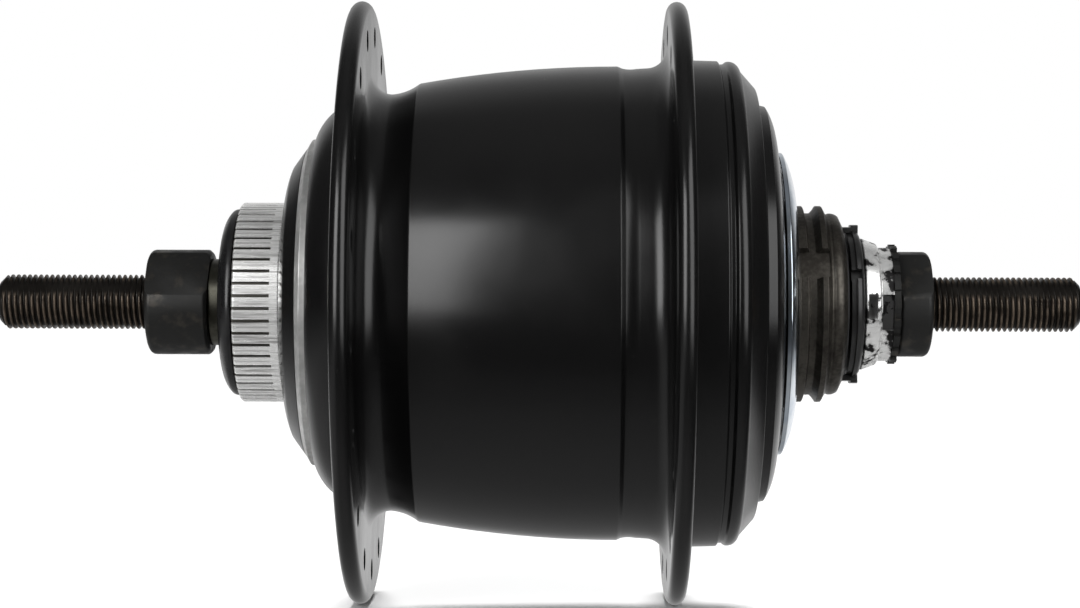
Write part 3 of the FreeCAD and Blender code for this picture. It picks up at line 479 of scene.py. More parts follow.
class Nodes:
    """Shorthand for building a node tree."""

    def __init__(self, tree):
        self.nodes = tree.nodes
        self.links = tree.links
        self.coordinates = self.add("ShaderNodeTexCoord").outputs

    def add(self, kind, **settings):
        """A new node with the settings given."""
        node = self.nodes.new(kind)
        for key, value in settings.items():
            setattr(node, key, value)
        return node

    def feed(self, socket, value):
        """Links a value to a socket, or sets a plain number or colour on it."""
        if isinstance(value, bpy.types.NodeSocket):
            self.links.new(value, socket)
        elif isinstance(value, tuple) and len(value) == 3 and socket.type == "RGBA":
            socket.default_value = (*value, 1.0)
        else:
            socket.default_value = value

    def calc(self, operation, first, second=0.0):
        """The result of a sum on one or two values."""
        node = self.add("ShaderNodeMath", operation=operation)
        self.feed(node.inputs[0], first)
        self.feed(node.inputs[1], second)
        return node.outputs[0]

    def split(self, vector):
        """X, Y and Z of a vector."""
        node = self.add("ShaderNodeSeparateXYZ")
        self.feed(node.inputs[0], vector)
        return node.outputs

    def length(self, first, second):
        """The length of the diagonal of two values."""
        squares = [self.calc("MULTIPLY", value, value) for value in (first, second)]
        return self.calc("SQRT", self.calc("ADD", *squares))

    def remap(self, value, low, high, new_low, new_high):
        """A smooth step from one level to another while a value goes from low to high."""
        node = self.add("ShaderNodeMapRange", interpolation_type="SMOOTHSTEP")
        for socket, number in zip(node.inputs, (value, low, high, new_low, new_high)):
            self.feed(socket, number)
        return node.outputs["Result"]

    def curve(self, value, points):
        """A smooth level along a value, from pairs of value and level."""
        level = points[0][1]
        for (low, first), (high, second) in zip(points, points[1:]):
            level = self.calc("ADD", level, self.remap(value, low, high, 0.0, second - first))
        return level


class Finish(Nodes):
    """A material whose look is worked out from the place on the piece."""

    def __init__(self, name, metallic):
        self.material = bpy.data.materials.new(name)
        self.material.use_nodes = True
        super().__init__(self.material.node_tree)
        self.place = self.coordinates["Object"]
        self.shader = self.nodes["Principled BSDF"]
        self.shader.inputs["Metallic"].default_value = metallic

    def stretched(self, along, across):
        """The place with X scaled by along and the other two by across."""
        node = self.add("ShaderNodeVectorMath", operation="MULTIPLY")
        self.feed(node.inputs[0], self.place)
        self.feed(node.inputs[1], (along, across, across))
        return node.outputs[0]

    def along(self):
        """X, in metres."""
        return self.split(self.place)[0]

    def radius(self):
        """The radius about the axle, in metres."""
        _, y, z = self.split(self.place)
        return self.length(y, z)

    def bearing(self):
        """The angle about the axle, in radians."""
        _, y, z = self.split(self.place)
        return self.calc("ARCTAN2", z, y)

    def turned(self, scale):
        """A place that is the same all round the axle, for marks left by turning."""
        node = self.add("ShaderNodeCombineXYZ")
        self.feed(node.inputs[0], self.calc("MULTIPLY", self.along(), scale))
        self.feed(node.inputs[1], self.calc("MULTIPLY", self.radius(), scale))
        return node.outputs[0]

    def noise(self, vector, scale, detail):
        """Soft random patches, from 0 to 1."""
        node = self.add("ShaderNodeTexNoise")
        self.feed(node.inputs["Vector"], vector)
        self.feed(node.inputs["Scale"], scale)
        self.feed(node.inputs["Detail"], detail)
        return node.outputs["Fac"]

    def rings(self, scale, detail=2.0):
        """Fine marks that run round the axle. The scale counts them in a metre."""
        return self.noise(self.turned(scale), 1.0, detail)

    def blend(self, share, first, second):
        """A colour between two, by a share from 0 to 1."""
        node = self.add("ShaderNodeMix", data_type="RGBA")
        self.feed(node.inputs[MIX_SHARE], share)
        self.feed(node.inputs[MIX_FIRST], first)
        self.feed(node.inputs[MIX_SECOND], second)
        return node.outputs[MIX_RESULT]

    def colour(self, value):
        """The base colour, plain or worked out."""
        self.feed(self.shader.inputs["Base Color"], value)

    def rough(self, value):
        """The roughness, plain or worked out."""
        self.feed(self.shader.inputs["Roughness"], value)

    def bumps(self, *layers):
        """Small relief. Each layer is a height and a depth in millimetres."""
        normal = None
        for height, depth in layers:
            node = self.add("ShaderNodeBump")
            self.feed(node.inputs["Height"], height)
            self.feed(node.inputs["Distance"], depth * MM)
            if normal is not None:
                self.feed(node.inputs["Normal"], normal)
            normal = node.outputs["Normal"]
        self.feed(self.shader.inputs["Normal"], normal)


def metal(name, dull, bright, rough, marks=0.004, grain=900.0, metallic=1.0):
    """A worked metal: two tones in soft patches, fine tool marks and an uneven sheen."""
    look = Finish(name, metallic)
    patches = look.noise(look.place, 160.0, 5.0)
    fine = look.noise(look.place, grain, 4.0)
    share = look.calc("ADD", look.calc("MULTIPLY", patches, 0.65), look.calc("MULTIPLY", fine, 0.35))
    look.colour(look.blend(look.remap(share, 0.38, 0.62, 0.0, 1.0), dull, bright))
    look.rough(look.remap(share, 0.35, 0.65, rough[1], rough[0]))
    look.bumps((look.rings(2600.0), marks), (fine, marks))
    return look


def paint(name):
    """Satin black paint with a slight orange peel, smudges and a few pale specks."""
    look = Finish(name, 0.0)
    smudge = look.noise(look.place, 55.0, 4.0)
    peel = look.noise(look.place, 1100.0, 2.0)
    speck = look.noise(look.place, 3600.0, 1.0)
    dust = look.remap(speck, 0.72, 0.80, 0.0, 0.5)
    look.colour(look.blend(dust, look.blend(smudge, PAINT_DARK, PAINT_PALE), PAINT_DUST))
    look.rough(look.remap(smudge, 0.35, 0.65, 0.21, 0.27))
    look.bumps((peel, 0.004))
    return look


def oxide(name):
    """Dark oxide on the thread: a painted brown highlight along the crests, black and oily in the grooves."""
    look = Finish(name, 0.75)
    top = thread_top()
    # A brown highlight is painted on the crests and upper flanks, in patches along the thread.
    crest = look.remap(look.radius(), (top - 0.47) * MM, top * MM, 0.0, 1.0)
    patch = look.noise(look.stretched(260.0, 420.0), 1.0, 5.0)
    crest_highlight = look.calc("MULTIPLY", crest, look.remap(patch, 0.35, 0.65, 0.25, 1.0))
    look.colour(look.blend(crest_highlight, THREAD_OIL, THREAD_HIGHLIGHT_BROWN))
    look.rough(look.remap(patch, 0.35, 0.65, 0.30, 0.52))
    look.bumps((look.noise(look.place, 2400.0, 3.0), 0.02))
    return look


def black_steel(name, tone, rough):
    """Blackened steel with faint brown wear and fine pits."""
    look = Finish(name, 0.55)
    patch = look.noise(look.place, 420.0, 5.0)
    pits = look.noise(look.place, 2600.0, 2.0)
    worn = look.remap(patch, 0.52, 0.72, 0.0, 0.6)
    look.colour(look.blend(worn, (tone, tone, tone * 0.96), (tone * 3.2, tone * 2.8, tone * 2.3)))
    look.rough(look.remap(patch, 0.35, 0.65, rough + 0.08, rough - 0.06))
    look.bumps((pits, 0.012), (look.rings(2200.0), 0.006))
    return look


def moulded(name, tone, rough, depth=0.006):
    """Plastic or rubber with a fine skin, handling marks and a little dust."""
    look = Finish(name, 0.0)
    marks = look.noise(look.place, 240.0, 5.0)
    pale = tuple(2.2 * value + 0.004 for value in tone)
    look.colour(look.blend(look.remap(marks, 0.45, 0.75, 0.0, 0.6), tone, pale))
    look.rough(look.remap(marks, 0.35, 0.65, rough - 0.05, rough + 0.09))
    look.bumps((look.noise(look.place, 1500.0, 2.0), depth))
    return look


def plated(name):
    """Bright plating streaked along the axle, a painted dark reflection line on each tooth, painted shade
    between.
    """
    look = Finish(name, 0.55)
    _, right, radius = span("brake_spline_ring")
    teeth_end = right - SPLINE_COLLAR
    streak = look.noise(look.stretched(90.0, 1700.0), 1.0, 4.0)
    cloud = look.noise(look.place, 200.0, 3.0)
    # A dark line is painted along the middle of each tooth, for the dark reflection on its crest.
    phase = look.calc("FRACT", look.calc("MULTIPLY", look.bearing(), SPLINE_TEETH / (2 * math.pi)))
    from_middle = look.calc("ABSOLUTE", look.calc("SUBTRACT", phase, 0.5))
    line = look.remap(from_middle, 0.03, 0.13, 0.55, 0.0)
    toothed = look.remap(look.along(), (teeth_end - 0.3) * MM, (teeth_end + 0.1) * MM, 1.0, 0.0)
    worn = look.remap(streak, 0.46, 0.66, 0.0, 0.9)
    dark = look.calc("MAXIMUM", worn, look.calc("MULTIPLY", line, toothed))
    # Painted shade in the grooves between the teeth, darker with depth.
    deep = look.remap(look.radius(), (radius - 0.4) * MM, (radius - 0.1) * MM, 1.0, 0.0)
    look.colour(look.blend(deep, look.blend(dark, PLATING, PLATING_WORN_AND_REFLECTION), PLATING_GROOVE_SHADE))
    sheen = look.remap(streak, 0.40, 0.66, 0.20, 0.38)
    look.rough(look.calc("ADD", sheen, look.calc("MULTIPLY", cloud, 0.08)))
    look.bumps((streak, 0.01), (look.rings(1500.0), 0.003))
    return look


def greasy(name):
    """Bright ground steel, mottled with old grease and dark in its recesses."""
    look = Finish(name, 0.6)
    floor_radius = span("right_cone")[2] - HEAD_TAPER - HEAD_STEP - WRENCH_SLOT_DEPTH
    cloud = look.noise(look.place, 340.0, 6.0)
    stain = look.noise(look.place, 1100.0, 4.0)
    stained = look.remap(look.calc("ADD", cloud, look.calc("MULTIPLY", stain, 0.5)), 0.72, 0.84, 0.0, 1.0)
    # Darker towards the floor of the recesses in the head, set by radius alone.
    deep = look.remap(look.radius(), (floor_radius + 0.1) * MM, (floor_radius + 0.5) * MM, 0.9, 0.0)
    stains_and_recesses = look.calc("MAXIMUM", stained, deep)
    look.colour(look.blend(stains_and_recesses, GROUND_STEEL, GREASE_AND_RECESS_DARK))
    look.rough(look.remap(stains_and_recesses, 0.0, 1.0, 0.22, 0.50))
    look.bumps((stain, 0.012), (look.rings(1800.0), 0.006))
    return look


def make_finishes():
    """One finish for each material slot of the record."""
    return {
        "axle_steel": oxide("axle_steel"),
        "black_nut": black_steel("black_nut", tone=0.018, rough=0.44),
        "dark_steel": metal("dark_steel", dull=(0.05, 0.048, 0.038), bright=(0.12, 0.117, 0.095),
                            rough=(0.26, 0.42)),
        "black_cap": moulded("black_cap", tone=(0.006, 0.006, 0.0065), rough=0.28, depth=0.003),
        "bright_steel": greasy("bright_steel"),
        "gear_steel": metal("gear_steel", dull=(0.27, 0.26, 0.24), bright=(0.46, 0.45, 0.42),
                            rough=(0.24, 0.42)),
        "black_paint": paint("black_paint"),
        "plated_steel": plated("plated_steel"),
        "ring_steel": metal("ring_steel", dull=(0.36, 0.36, 0.355), bright=(0.50, 0.50, 0.49),
                            rough=(0.30, 0.42), metallic=0.6),
        "driver_steel": metal("driver_steel", dull=(0.035, 0.031, 0.026), bright=(0.085, 0.078, 0.067),
                              rough=(0.34, 0.50), marks=0.008, grain=1500.0, metallic=0.8),
        "zinc": metal("zinc", dull=(0.62, 0.70, 0.80), bright=(0.76, 0.82, 0.88), rough=(0.10, 0.18),
                      marks=0.002),
        "seal_rubber": moulded("seal_rubber", tone=(0.018, 0.018, 0.018), rough=0.66, depth=0.01),
        "cage_plastic": moulded("cage_plastic", tone=(0.11, 0.10, 0.075), rough=0.48),
        "cage_steel": metal("cage_steel", dull=(0.30, 0.26, 0.19), bright=(0.50, 0.45, 0.35),
                            rough=(0.28, 0.44)),
        "black_plastic": moulded("black_plastic", tone=(0.011, 0.011, 0.011), rough=0.34, depth=0.004),
    }


# Pieces seen from outside, from left to right

def thread_radius(x, turn, top, tip, flat):
    """Radius of a threaded end: the helical groove, the chamfered tip and the two flats."""
    phase = (x / THREAD_PITCH - turn / (2 * math.pi)) % 1.0
    rise = (abs(2 * phase - 1) - THREAD_ROOT) / (1 - THREAD_ROOT - THREAD_CREST)
    radius = top - THREAD_DEPTH * (1 - min(1.0, max(0.0, rise)))
    radius = min(radius, top - TIP_CHAMFER + tip - abs(x))
    if abs(x) > flat:
        across = abs(math.cos(turn - math.radians(FLAT_ANGLE)))
        radius = min(radius, AXLE_ACROSS_FLATS / 2 / max(across, 0.01))
    return radius


def axle():
    """The axle, with both threaded ends and the collar and circlip groove of its plain middle."""
    _, tip, collar = span("axle")
    top = thread_top()
    body = AXLE_BODY_RADIUS
    collar_end = span("clutch_cup")[0] - THIN_GAP
    collar_start = collar_end - AXLE_COLLAR
    clip_start, clip_end, _ = span("carrier_circlip")
    shoulder = clip_end + AXLE_SHOULDER
    middle = [(collar_start, top), (collar_start, collar), (collar_end, collar), (collar_end, body),
              (clip_start - SEAT, body), (clip_start - SEAT, body - CIRCLIP_GROOVE),
              (clip_end + SEAT, body - CIRCLIP_GROOVE), (clip_end + SEAT, body), (shoulder, body),
              (shoulder, top)]
    turns = [2 * math.pi * i / ROUND for i in range(ROUND)]
    nut_start, nut_end, _ = span("right_lock_nut")
    inner = nut_start - THREAD_INSET
    flat = nut_end + FLAT_SETBACK
    count = int((tip - inner) / THREAD_PITCH * THREAD_STEPS)
    places = [inner + (tip - inner) * i / count for i in range(count + 1)] + [flat, flat + FLAT_STEP]
    places.sort()
    ends = []
    for side in (-1, 1):
        ends.append([[around(side * x, thread_radius(side * x, t, top, tip, flat), t) for t in turns]
                     for x in places])
    left, right = ends[0][::-1], ends[1]
    rings = [[around(CENTRE_DEPTH - tip, 0, 0)], [around(-tip, CENTRE_HOLE, t) for t in turns]] + left
    rings += [[around(x, radius, t) for t in turns] for x, radius in middle]
    rings += right + [[around(tip, CENTRE_HOLE, t) for t in turns], [around(tip - CENTRE_DEPTH, 0, 0)]]
    return piece("axle_threaded", skin(rings), THREAD_CRISP_ANGLE)


def lock_nut(node, toward):
    """A round nut with two flats. Its face at the outer end is toward +X or -X."""
    left, right, radius = span(node)
    inner, outer = (left, right) if toward > 0 else (right, left)
    bore = thread_top() + SEAT
    nut = piece(node + "_turned", revolve(path(
        (inner, bore + NUT_BACK_MOUTH), (inner, radius - NUT_BACK_EDGE, 0.1),
        (inner + toward * NUT_BACK_EDGE, radius, 0.2), (outer - toward * NUT_EDGE, radius),
        ((outer - toward * QUARTER * NUT_EDGE, radius - QUARTER * NUT_EDGE), (outer, radius - NUT_EDGE)),
        (outer, bore + NUT_MOUTH), (outer - toward * NUT_MOUTH, bore),
        (inner + toward * NUT_BACK_MOUTH, bore))))
    flats = [block(left - REACH, right + REACH, NUT_ACROSS_FLATS / 2, 2 * radius, 4 * radius, angle)
             for angle in (FLAT_ANGLE, FLAT_ANGLE + 180)]
    carve(nut, flats)
    bevel(nut, EDGE)
    return nut


def left_cone():
    """The left cone: a neck through the dust cap, a shoulder behind it and a curved race."""
    left, right, _ = span("left_cone")
    shoulder = span("left_dust_cap")[1]
    bore = thread_top() + SEAT
    return piece("left_cone_turned", revolve(path(
        (left, bore), (left, CONE_NECK, 0.15), (shoulder + SEAT, CONE_NECK),
        (shoulder + SEAT, CONE_SHOULDER, 0.1), (shoulder + CONE_SHOULDER_LENGTH, CONE_SHOULDER),
        ((shoulder + 3.2, 9.6), (right - 1.0, CONE_NOSE + 0.1)), (right, CONE_NOSE, 0.1), (right, bore))))


def left_dust_cap():
    """The black cap at the left: a short side, a domed face and a shallow step about the neck."""
    left, right, rim = span("left_dust_cap")
    bore = CONE_NECK + SEAT
    return piece("left_dust_cap_dished", revolve(path(
        (right, bore), (right, rim, 0.05), ((right - CAP_SIDE / 2, rim), (right - CAP_SIDE, rim - 0.3)),
        ((left + 0.7, rim - 1.6), (left + 0.2, rim - 4.4)), (left, rim - CAP_FACE, 0.1),
        (left, rim - CAP_FACE - 0.7, 0.1), (left + CAP_STEP, rim - CAP_FACE - 1.0, 0.1),
        (left + CAP_STEP, bore)), FINE))


def spline_ring():
    """The toothed ring for the brake, with a plain collar at its right end."""
    left, right, radius = span("brake_spline_ring")
    bore = BOSS_RADIUS + SEAT
    ring = piece("brake_spline_cut", revolve(path(
        (left, bore), (left, radius - SPLINE_EDGE, 0.08), (left + SPLINE_EDGE, radius, 0.1),
        (right - SPLINE_BACK_EDGE, radius, 0.1), (right, radius - SPLINE_BACK_EDGE, 0.08), (right, bore)),
        FINE))
    grooves = [block(left - REACH, right - SPLINE_COLLAR, radius - SPLINE_DEPTH, radius + REACH,
                     SPLINE_GROOVE, 360.0 * i / SPLINE_TEETH) for i in range(SPLINE_TEETH)]
    carve(ring, grooves)
    return ring


def shell():
    """The barrel with its dished left end, both spoke flanges and the rim that takes the cover ring."""
    left, right, flange = span("hub_shell")
    ring_left, ring_right, ring_top = span("left_end_ring")
    lip = span("brake_spline_ring")[1]
    cup_left, cup_right, cup = span("clutch_cup")
    first, dims = mount("left_spoke_holes")
    second = mount("right_spoke_holes")[0]
    half = FLANGE_THICKNESS / 2
    fillet = FLANGE_FILLET
    bearing_seat = BEARING_CUP_RADIUS + SEAT
    ring_seat = ring_top - (END_RING_BORE_DEPTH + SEAT)
    dish = [
        (left, bearing_seat), (left, BOSS_RADIUS), (lip + SEAT, BOSS_RADIUS), (lip + SEAT, LIP_RADIUS, 0.2),
        ((lip + 0.3, 20.9), (lip + 1.2, cup - 6.6)),
        ((lip + 2.2, cup - 5.2), (ring_left - RING_GAP, ring_top - 1.5)),
        (ring_left - RING_GAP, ring_seat), (ring_right + SEAT, ring_seat),
        (ring_right + SEAT, ring_top + 1.3, 0.1),
        ((ring_right + 2.1, cup + 2.25), (first - half - 0.4, cup + 4.3)), (first - half, cup + 4.5),
        (first - half, cup + 6.0)]
    start, foot = first + half, NECK_RADIUS
    left_flange = [
        (first - half, flange - half), ((first, flange), (start, flange - half)), (start, foot + fillet),
        ((start + QUARTER * fillet, foot + QUARTER * fillet), (start + fillet, foot))]
    top = BARREL_TOP
    crease, swell = first + CREASE_PLACE, second - SWELL_PLACE
    valley_end = second - half - fillet
    barrel = [
        ((first + 8.3, foot + 0.9), (crease, foot + CREASE_HEIGHT, 0.25)),
        (((crease + swell) / 2 + 0.4, top - 0.72), (swell, top, 0.15)), (swell + 0.8, top - 0.35, 0.15),
        ((swell + 1.8, top - 0.5), (valley_end - 1.9, top - 0.42)), (valley_end, top - VALLEY_DEPTH)]
    start, foot, edge = second - half, top - VALLEY_DEPTH, second + half
    right_flange = [
        ((start - QUARTER * fillet, foot + QUARTER * fillet), (start, foot + fillet)),
        (start, flange - half), ((second, flange), (edge, flange - half))]
    rim = RIM_RADIUS
    groove = rim - RIM_GROOVE_DEPTH
    rim_end = [
        (edge, rim, 0.25), (edge + 5.4, rim - 0.15, 0.15), (edge + 5.7, groove, 0.1),
        (edge + 6.4, groove, 0.1), (edge + 6.9, rim - 0.3, 0.15),
        ((edge + 8.2, rim - 0.45), (edge + 9.1, rim - 1.7)), (right, COVER_SEAT + COVER_SEAT_MOUTH, 0.1)]
    inside = [
        (right, COVER_SEAT), (swell - 2.0, COVER_SEAT), (first + 10.9, NECK_BORE + 1.8),
        (first + 8.9, NECK_BORE), (cup_right + RING_GAP, NECK_BORE), (cup_right + RING_GAP, cup + SEAT),
        (cup_left - SEAT, cup + SEAT), (cup_left - SEAT, cup - 2.5), (cup_left - 0.9, cup - 4.0),
        (lip + LIP_WALL, AXLE_HOLE), (lip - LIP_DEPTH, AXLE_HOLE), (lip - LIP_DEPTH, bearing_seat)]
    body = piece("hub_shell_painted", revolve(path(
        *dish, *left_flange, *barrel, *right_flange, *rim_end, *inside), FINE))
    holes = []
    for place, turn in ((first, SPOKE_PHASE), (second, SPOKE_PHASE - 180.0 / dims["count"])):
        holes += spoke_holes(place, dims, turn)
    carve(body, holes)
    return body


def spoke_holes(x, dims, first):
    """Cutters for the drilled and countersunk holes of a flange."""
    deep = FLANGE_THICKNESS / 2
    small = dims["hole_r_mm"]
    wide = small + COUNTERSINK + REACH
    outline = [(x - deep - REACH, 0), (x - deep - REACH, wide), (x - deep + COUNTERSINK, small),
               (x + deep - COUNTERSINK, small), (x + deep + REACH, wide), (x + deep + REACH, 0)]
    return [revolve(outline, SMALL, dims["pcd_mm"] / 2, first + 360.0 * i / dims["count"])
            for i in range(dims["count"])]


def end_ring():
    """The steel ring in the left end of the shell, with a bevelled outer edge."""
    left, right, radius = span("left_end_ring")
    bore = radius - END_RING_BORE_DEPTH
    return piece("left_end_ring_bevelled", revolve(path(
        (left, bore), (left, radius - END_RING_DEPTH, 0.12), (left + END_RING_BEVEL, radius, 0.12),
        (right, radius), (right, bore)), FINE))


def cover_ring():
    """The painted ring that closes the shell at the right, with a stepped face and the race inside."""
    left, right, radius = span("right_cover_ring")
    face = right - COVER_FACE
    race_start, race_end, back = (right - place for place in COVER_RACE_PLACES)
    return piece("right_cover_ring_painted", revolve(path(
        (left, radius - SEAT), (face, radius - SEAT), (face, radius - 2.1), (face + 0.4, radius - 2.5),
        (face + 1.8, radius - 2.8), ((face + 2.7, radius - 4.5), (face + 3.3, radius - 7.1)),
        (right, COVER_LIP, 0.1), (right, COVER_BORE), (race_start, COVER_BORE), (race_end, COVER_RACE),
        (back, COVER_RACE), (back, COVER_BACK), (left, radius - COVER_SKIRT)), FINE))


def zinc_cap():
    """The pressed cap in front of the driver, of one sheet."""
    left, right, radius = span("driver_dust_cap")
    seat = mount("sprocket_seat")[1]["r_mm"] + CAP_SHOULDER + SEAT
    sheet = DUST_CAP_SHEET
    return piece("driver_dust_cap_pressed", revolve(path(
        (left, radius, 0.1), (left + sheet - 0.05, radius, 0.15),
        ((left + sheet + 1.25, radius - DUST_CAP_BEND), (right, seat + 0.5, 0.1)), (right, seat),
        (right - sheet, seat), ((left + 0.95, radius - DUST_CAP_BEND), (left, radius - 0.9))), FINE))


def driver():
    """The sprocket driver: dog disc, tube, ball race and the stepped seat with its three notches."""
    left, right, _ = span("driver")
    cap_left, cap_right, _ = span("driver_dust_cap")
    cap = cap_left - 0.05
    start = cap_right + SEAT_PLACE
    seat = mount("sprocket_seat")[1]["r_mm"]
    groove = seat - NOTCH_DEPTH
    disc, disc_end = DRIVER_DISC_RADIUS, left + DRIVER_DISC
    low_race, high_race = LARGE_RACE
    back = [
        (left, DRIVER_BORE), (left, disc, 0.2), (disc_end, disc, 0.2), (disc_end, DRIVER_TUBE),
        (cap - 7.4, DRIVER_TUBE), (cap - 3.9, low_race), (cap - 3.5, low_race), (cap - 0.5, high_race),
        (cap, high_race), (cap, seat + CAP_SHOULDER)]
    lands = [
        (start - 0.6, seat + 0.6, 0.1), (start - 0.2, seat, 0.08), (start + 1.2, seat, EDGE),
        (start + 1.5, groove, 0.08), (start + 2.6, groove, 0.05),
        ((start + 3.0, groove + 0.4), (start + 3.6, seat, 0.1)), (start + 4.5, seat, EDGE),
        (start + 5.1, groove + 0.1, 0.1), ((start + 5.4, groove - 0.15), (start + 5.8, groove - 0.05)),
        ((right - 1.4, groove - 0.1), (right - 0.7, groove - 0.45)), (right, groove - 1.9, 0.15)]
    narrow, wide = SMALL_RACE
    race_start, race_end, race_back = (right - place for place in SMALL_RACE_PLACES)
    inside = [
        (right, wide), (race_start, wide), (race_end, narrow), (race_back, narrow),
        (race_back, DRIVER_HOLLOW), (left + DRIVER_WEB, DRIVER_HOLLOW), (left + DRIVER_WEB, DRIVER_BORE)]
    body = piece("driver_machined", revolve(path(*back, *lands, *inside), FINE))
    dog_top = span("first_ring_gear")[2] - DOG_GAP
    dogs = [block(left, disc_end, disc - DOG_OVERLAP, dog_top, DOG_WIDTH, 360.0 * i / DOGS)
            for i in range(DOGS)]
    carve(body, dogs, "UNION")
    cuts = [sector(start - 0.4, start + 5.0, groove, seat + REACH, NOTCH_ANGLE + 360.0 * i / NOTCHES,
                   NOTCH_HALF) for i in range(NOTCHES)]
    carve(body, cuts)
    return body


def seal():
    """The rubber seal between the driver and the sleeve of the right cone."""
    left, right, radius = span("driver_seal")
    bore = SLEEVE_RADIUS + THIN_GAP
    return piece("driver_seal_lip", revolve(path(
        (left, bore), (left, radius, 0.05), (right - 0.2, radius - 0.05, 0.08), (right, radius - 0.3, 0.08),
        (right, bore))))


def shift_ring():
    """The ring that a cable pulley turns, with a lobe and two lugs above and below, and one slot."""
    left, right, _ = span("shift_ring")
    start = span("driver_seal")[1] + SHIFT_RING_PLACE - SEAT
    radius = mount("shift_ring_face")[1]["r_mm"]
    bore = SLEEVE_RADIUS + RUNNING
    ring = piece("shift_ring_moulded", revolve(path(
        (start, bore), (start, radius - 0.6, 0.1), (start + 0.8, radius - 0.6), (start + 0.9, radius, EDGE),
        (start + 1.6, radius - 0.2, 0.1), ((start + 1.9, radius - 0.5), (right - 0.1, radius - 1.1, 0.08)),
        (right, radius - 1.4, 0.08), (right, bore)), FINE))
    lobe = radius + SHIFT_LOBE_HEIGHT
    lobes = [sector(start + 0.8, start + 2.0, radius - 1.0, lobe, angle, SHIFT_LOBE_HALF)
             for angle in SHIFT_LOBES]
    lugs = [block(left, start + 0.9, radius - 0.5, lobe - SHIFT_LUG_STEP, SHIFT_LUG_WIDTH, angle)
            for angle in SHIFT_LUGS]
    carve(ring, lobes, "UNION")
    carve(ring, lugs, "UNION")
    carve(ring, [block(start - REACH, start + 1.8, radius - 1.6, radius + REACH, SHIFT_SLOT_WIDTH,
                       SHIFT_SLOT_ANGLE)])
    bevel(ring, 0.08, 1)
    return ring


def right_cone():
    """The cone with its sleeve, and the bright head with recesses for a wrench and for the washer."""
    left, right, taper = span("right_cone")
    ring_left, ring_right, _ = span("shift_ring")
    head = ring_right + HEAD_GAP
    step = right - HEAD_STEP_LENGTH
    radius = taper - HEAD_TAPER
    rim = radius - HEAD_STEP
    bore = thread_top() + SEAT
    end, race, sleeve = CONE_END, CONE_RACE, SLEEVE_RADIUS
    to_race, slope, to_sleeve = CONE_RACE_PLACES
    race_start = left + to_race
    cone = piece("right_cone_ground", revolve(path(
        (left, SLEEVE_BORE), (left, end, 0.1), (race_start, end), (race_start + slope, race),
        (race_start + to_sleeve, race), (race_start + to_sleeve, sleeve), (head, sleeve),
        (head, taper - 0.2, 0.1), (head + 0.2, taper, 0.1), (step - 0.5, radius, 0.2),
        ((step - 0.15, radius - 0.25), (step, rim, 0.08)), (right, rim, 0.08), (right, bore),
        (head + HEAD_WEB, bore), (head + HEAD_WEB, SLEEVE_BORE)), FINE))
    cuts = [sector(ring_left + 0.9, ring_left + 2.4, SLEEVE_BORE - WINDOW_MARGIN, sleeve + WINDOW_MARGIN,
                   WINDOW_MIDDLE, WINDOW_HALF, WINDOW_STEPS)]
    for i in range(HEAD_SLOTS):
        turn = 360.0 * i / HEAD_SLOTS
        cuts.append(block(head + 0.4, step - 0.8, rim - WRENCH_SLOT_DEPTH, taper + REACH, WRENCH_SLOT_WIDTH,
                          WRENCH_SLOT_ANGLE + turn))
        cuts.append(block(step + 0.1, right + REACH, rim - WASHER_SLOT_DEPTH, radius + REACH,
                          WASHER_SLOT_WIDTH, WASHER_SLOT_ANGLE + turn))
    carve(cone, cuts)
    bevel(cone, 0.06, 1)
    return cone


def tooth_washer():
    """The black washer that locks the right nut, with teeth around its edge."""
    left, right, radius = span("right_tooth_washer")
    bore = thread_top() + SEAT
    root = radius - WASHER_TOOTH_HEIGHT
    disc = piece("right_tooth_washer_cut", revolve(path(
        (left, bore), (left, root, 0.05), (right, root, 0.05), (right, bore))))
    teeth = [block(left, right, root - WASHER_TOOTH_HEIGHT, radius, WASHER_TOOTH_WIDTH,
                   360.0 * i / WASHER_TEETH) for i in range(WASHER_TEETH)]
    carve(disc, teeth, "UNION")
    bevel(disc, 0.08, 1)
    return disc


def dress(thing, finish, body, slot, *nodes):
    """Gives a piece its material, its body and the CAD nodes that it stands for."""
    thing.data.materials.clear()
    thing.data.materials.append(finish.material)
    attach(thing, body)
    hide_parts(*nodes)


def build_pieces(finishes):
    """Makes the outer pieces, and gives the CAD nodes that stay their materials."""
    slots = {part["node"]: part["material_slot"] for part in frame["record"]["subparts"]}
    made = [
        (axle(), "axle_set", "axle"),
        (lock_nut("left_lock_nut", -1), "axle_set", "left_lock_nut"),
        (lock_nut("right_lock_nut", 1), "axle_set", "right_lock_nut"),
        (left_cone(), "axle_set", "left_cone"),
        (left_dust_cap(), "axle_set", "left_dust_cap"),
        (spline_ring(), "shell", "brake_spline_ring"),
        (shell(), "shell", "hub_shell"),
        (end_ring(), "shell", "left_end_ring"),
        (cover_ring(), "shell", "right_cover_ring"),
        (zinc_cap(), "driver_set", "driver_dust_cap"),
        (driver(), "driver_set", "driver"),
        (seal(), "driver_set", "driver_seal"),
        (shift_ring(), "shifter", "shift_ring"),
        (right_cone(), "axle_set", "right_cone"),
        (tooth_washer(), "axle_set", "right_tooth_washer"),
    ]
    for thing, body, node in made:
        dress(thing, finishes[slots[node]], body, slots[node], node)
    replaced = {node for _, _, node in made}
    for name, thing in frame["nodes"].items():
        if name not in replaced:
            thing.data.materials.clear()
            thing.data.materials.append(finishes[slots[name]].material)


# Studio

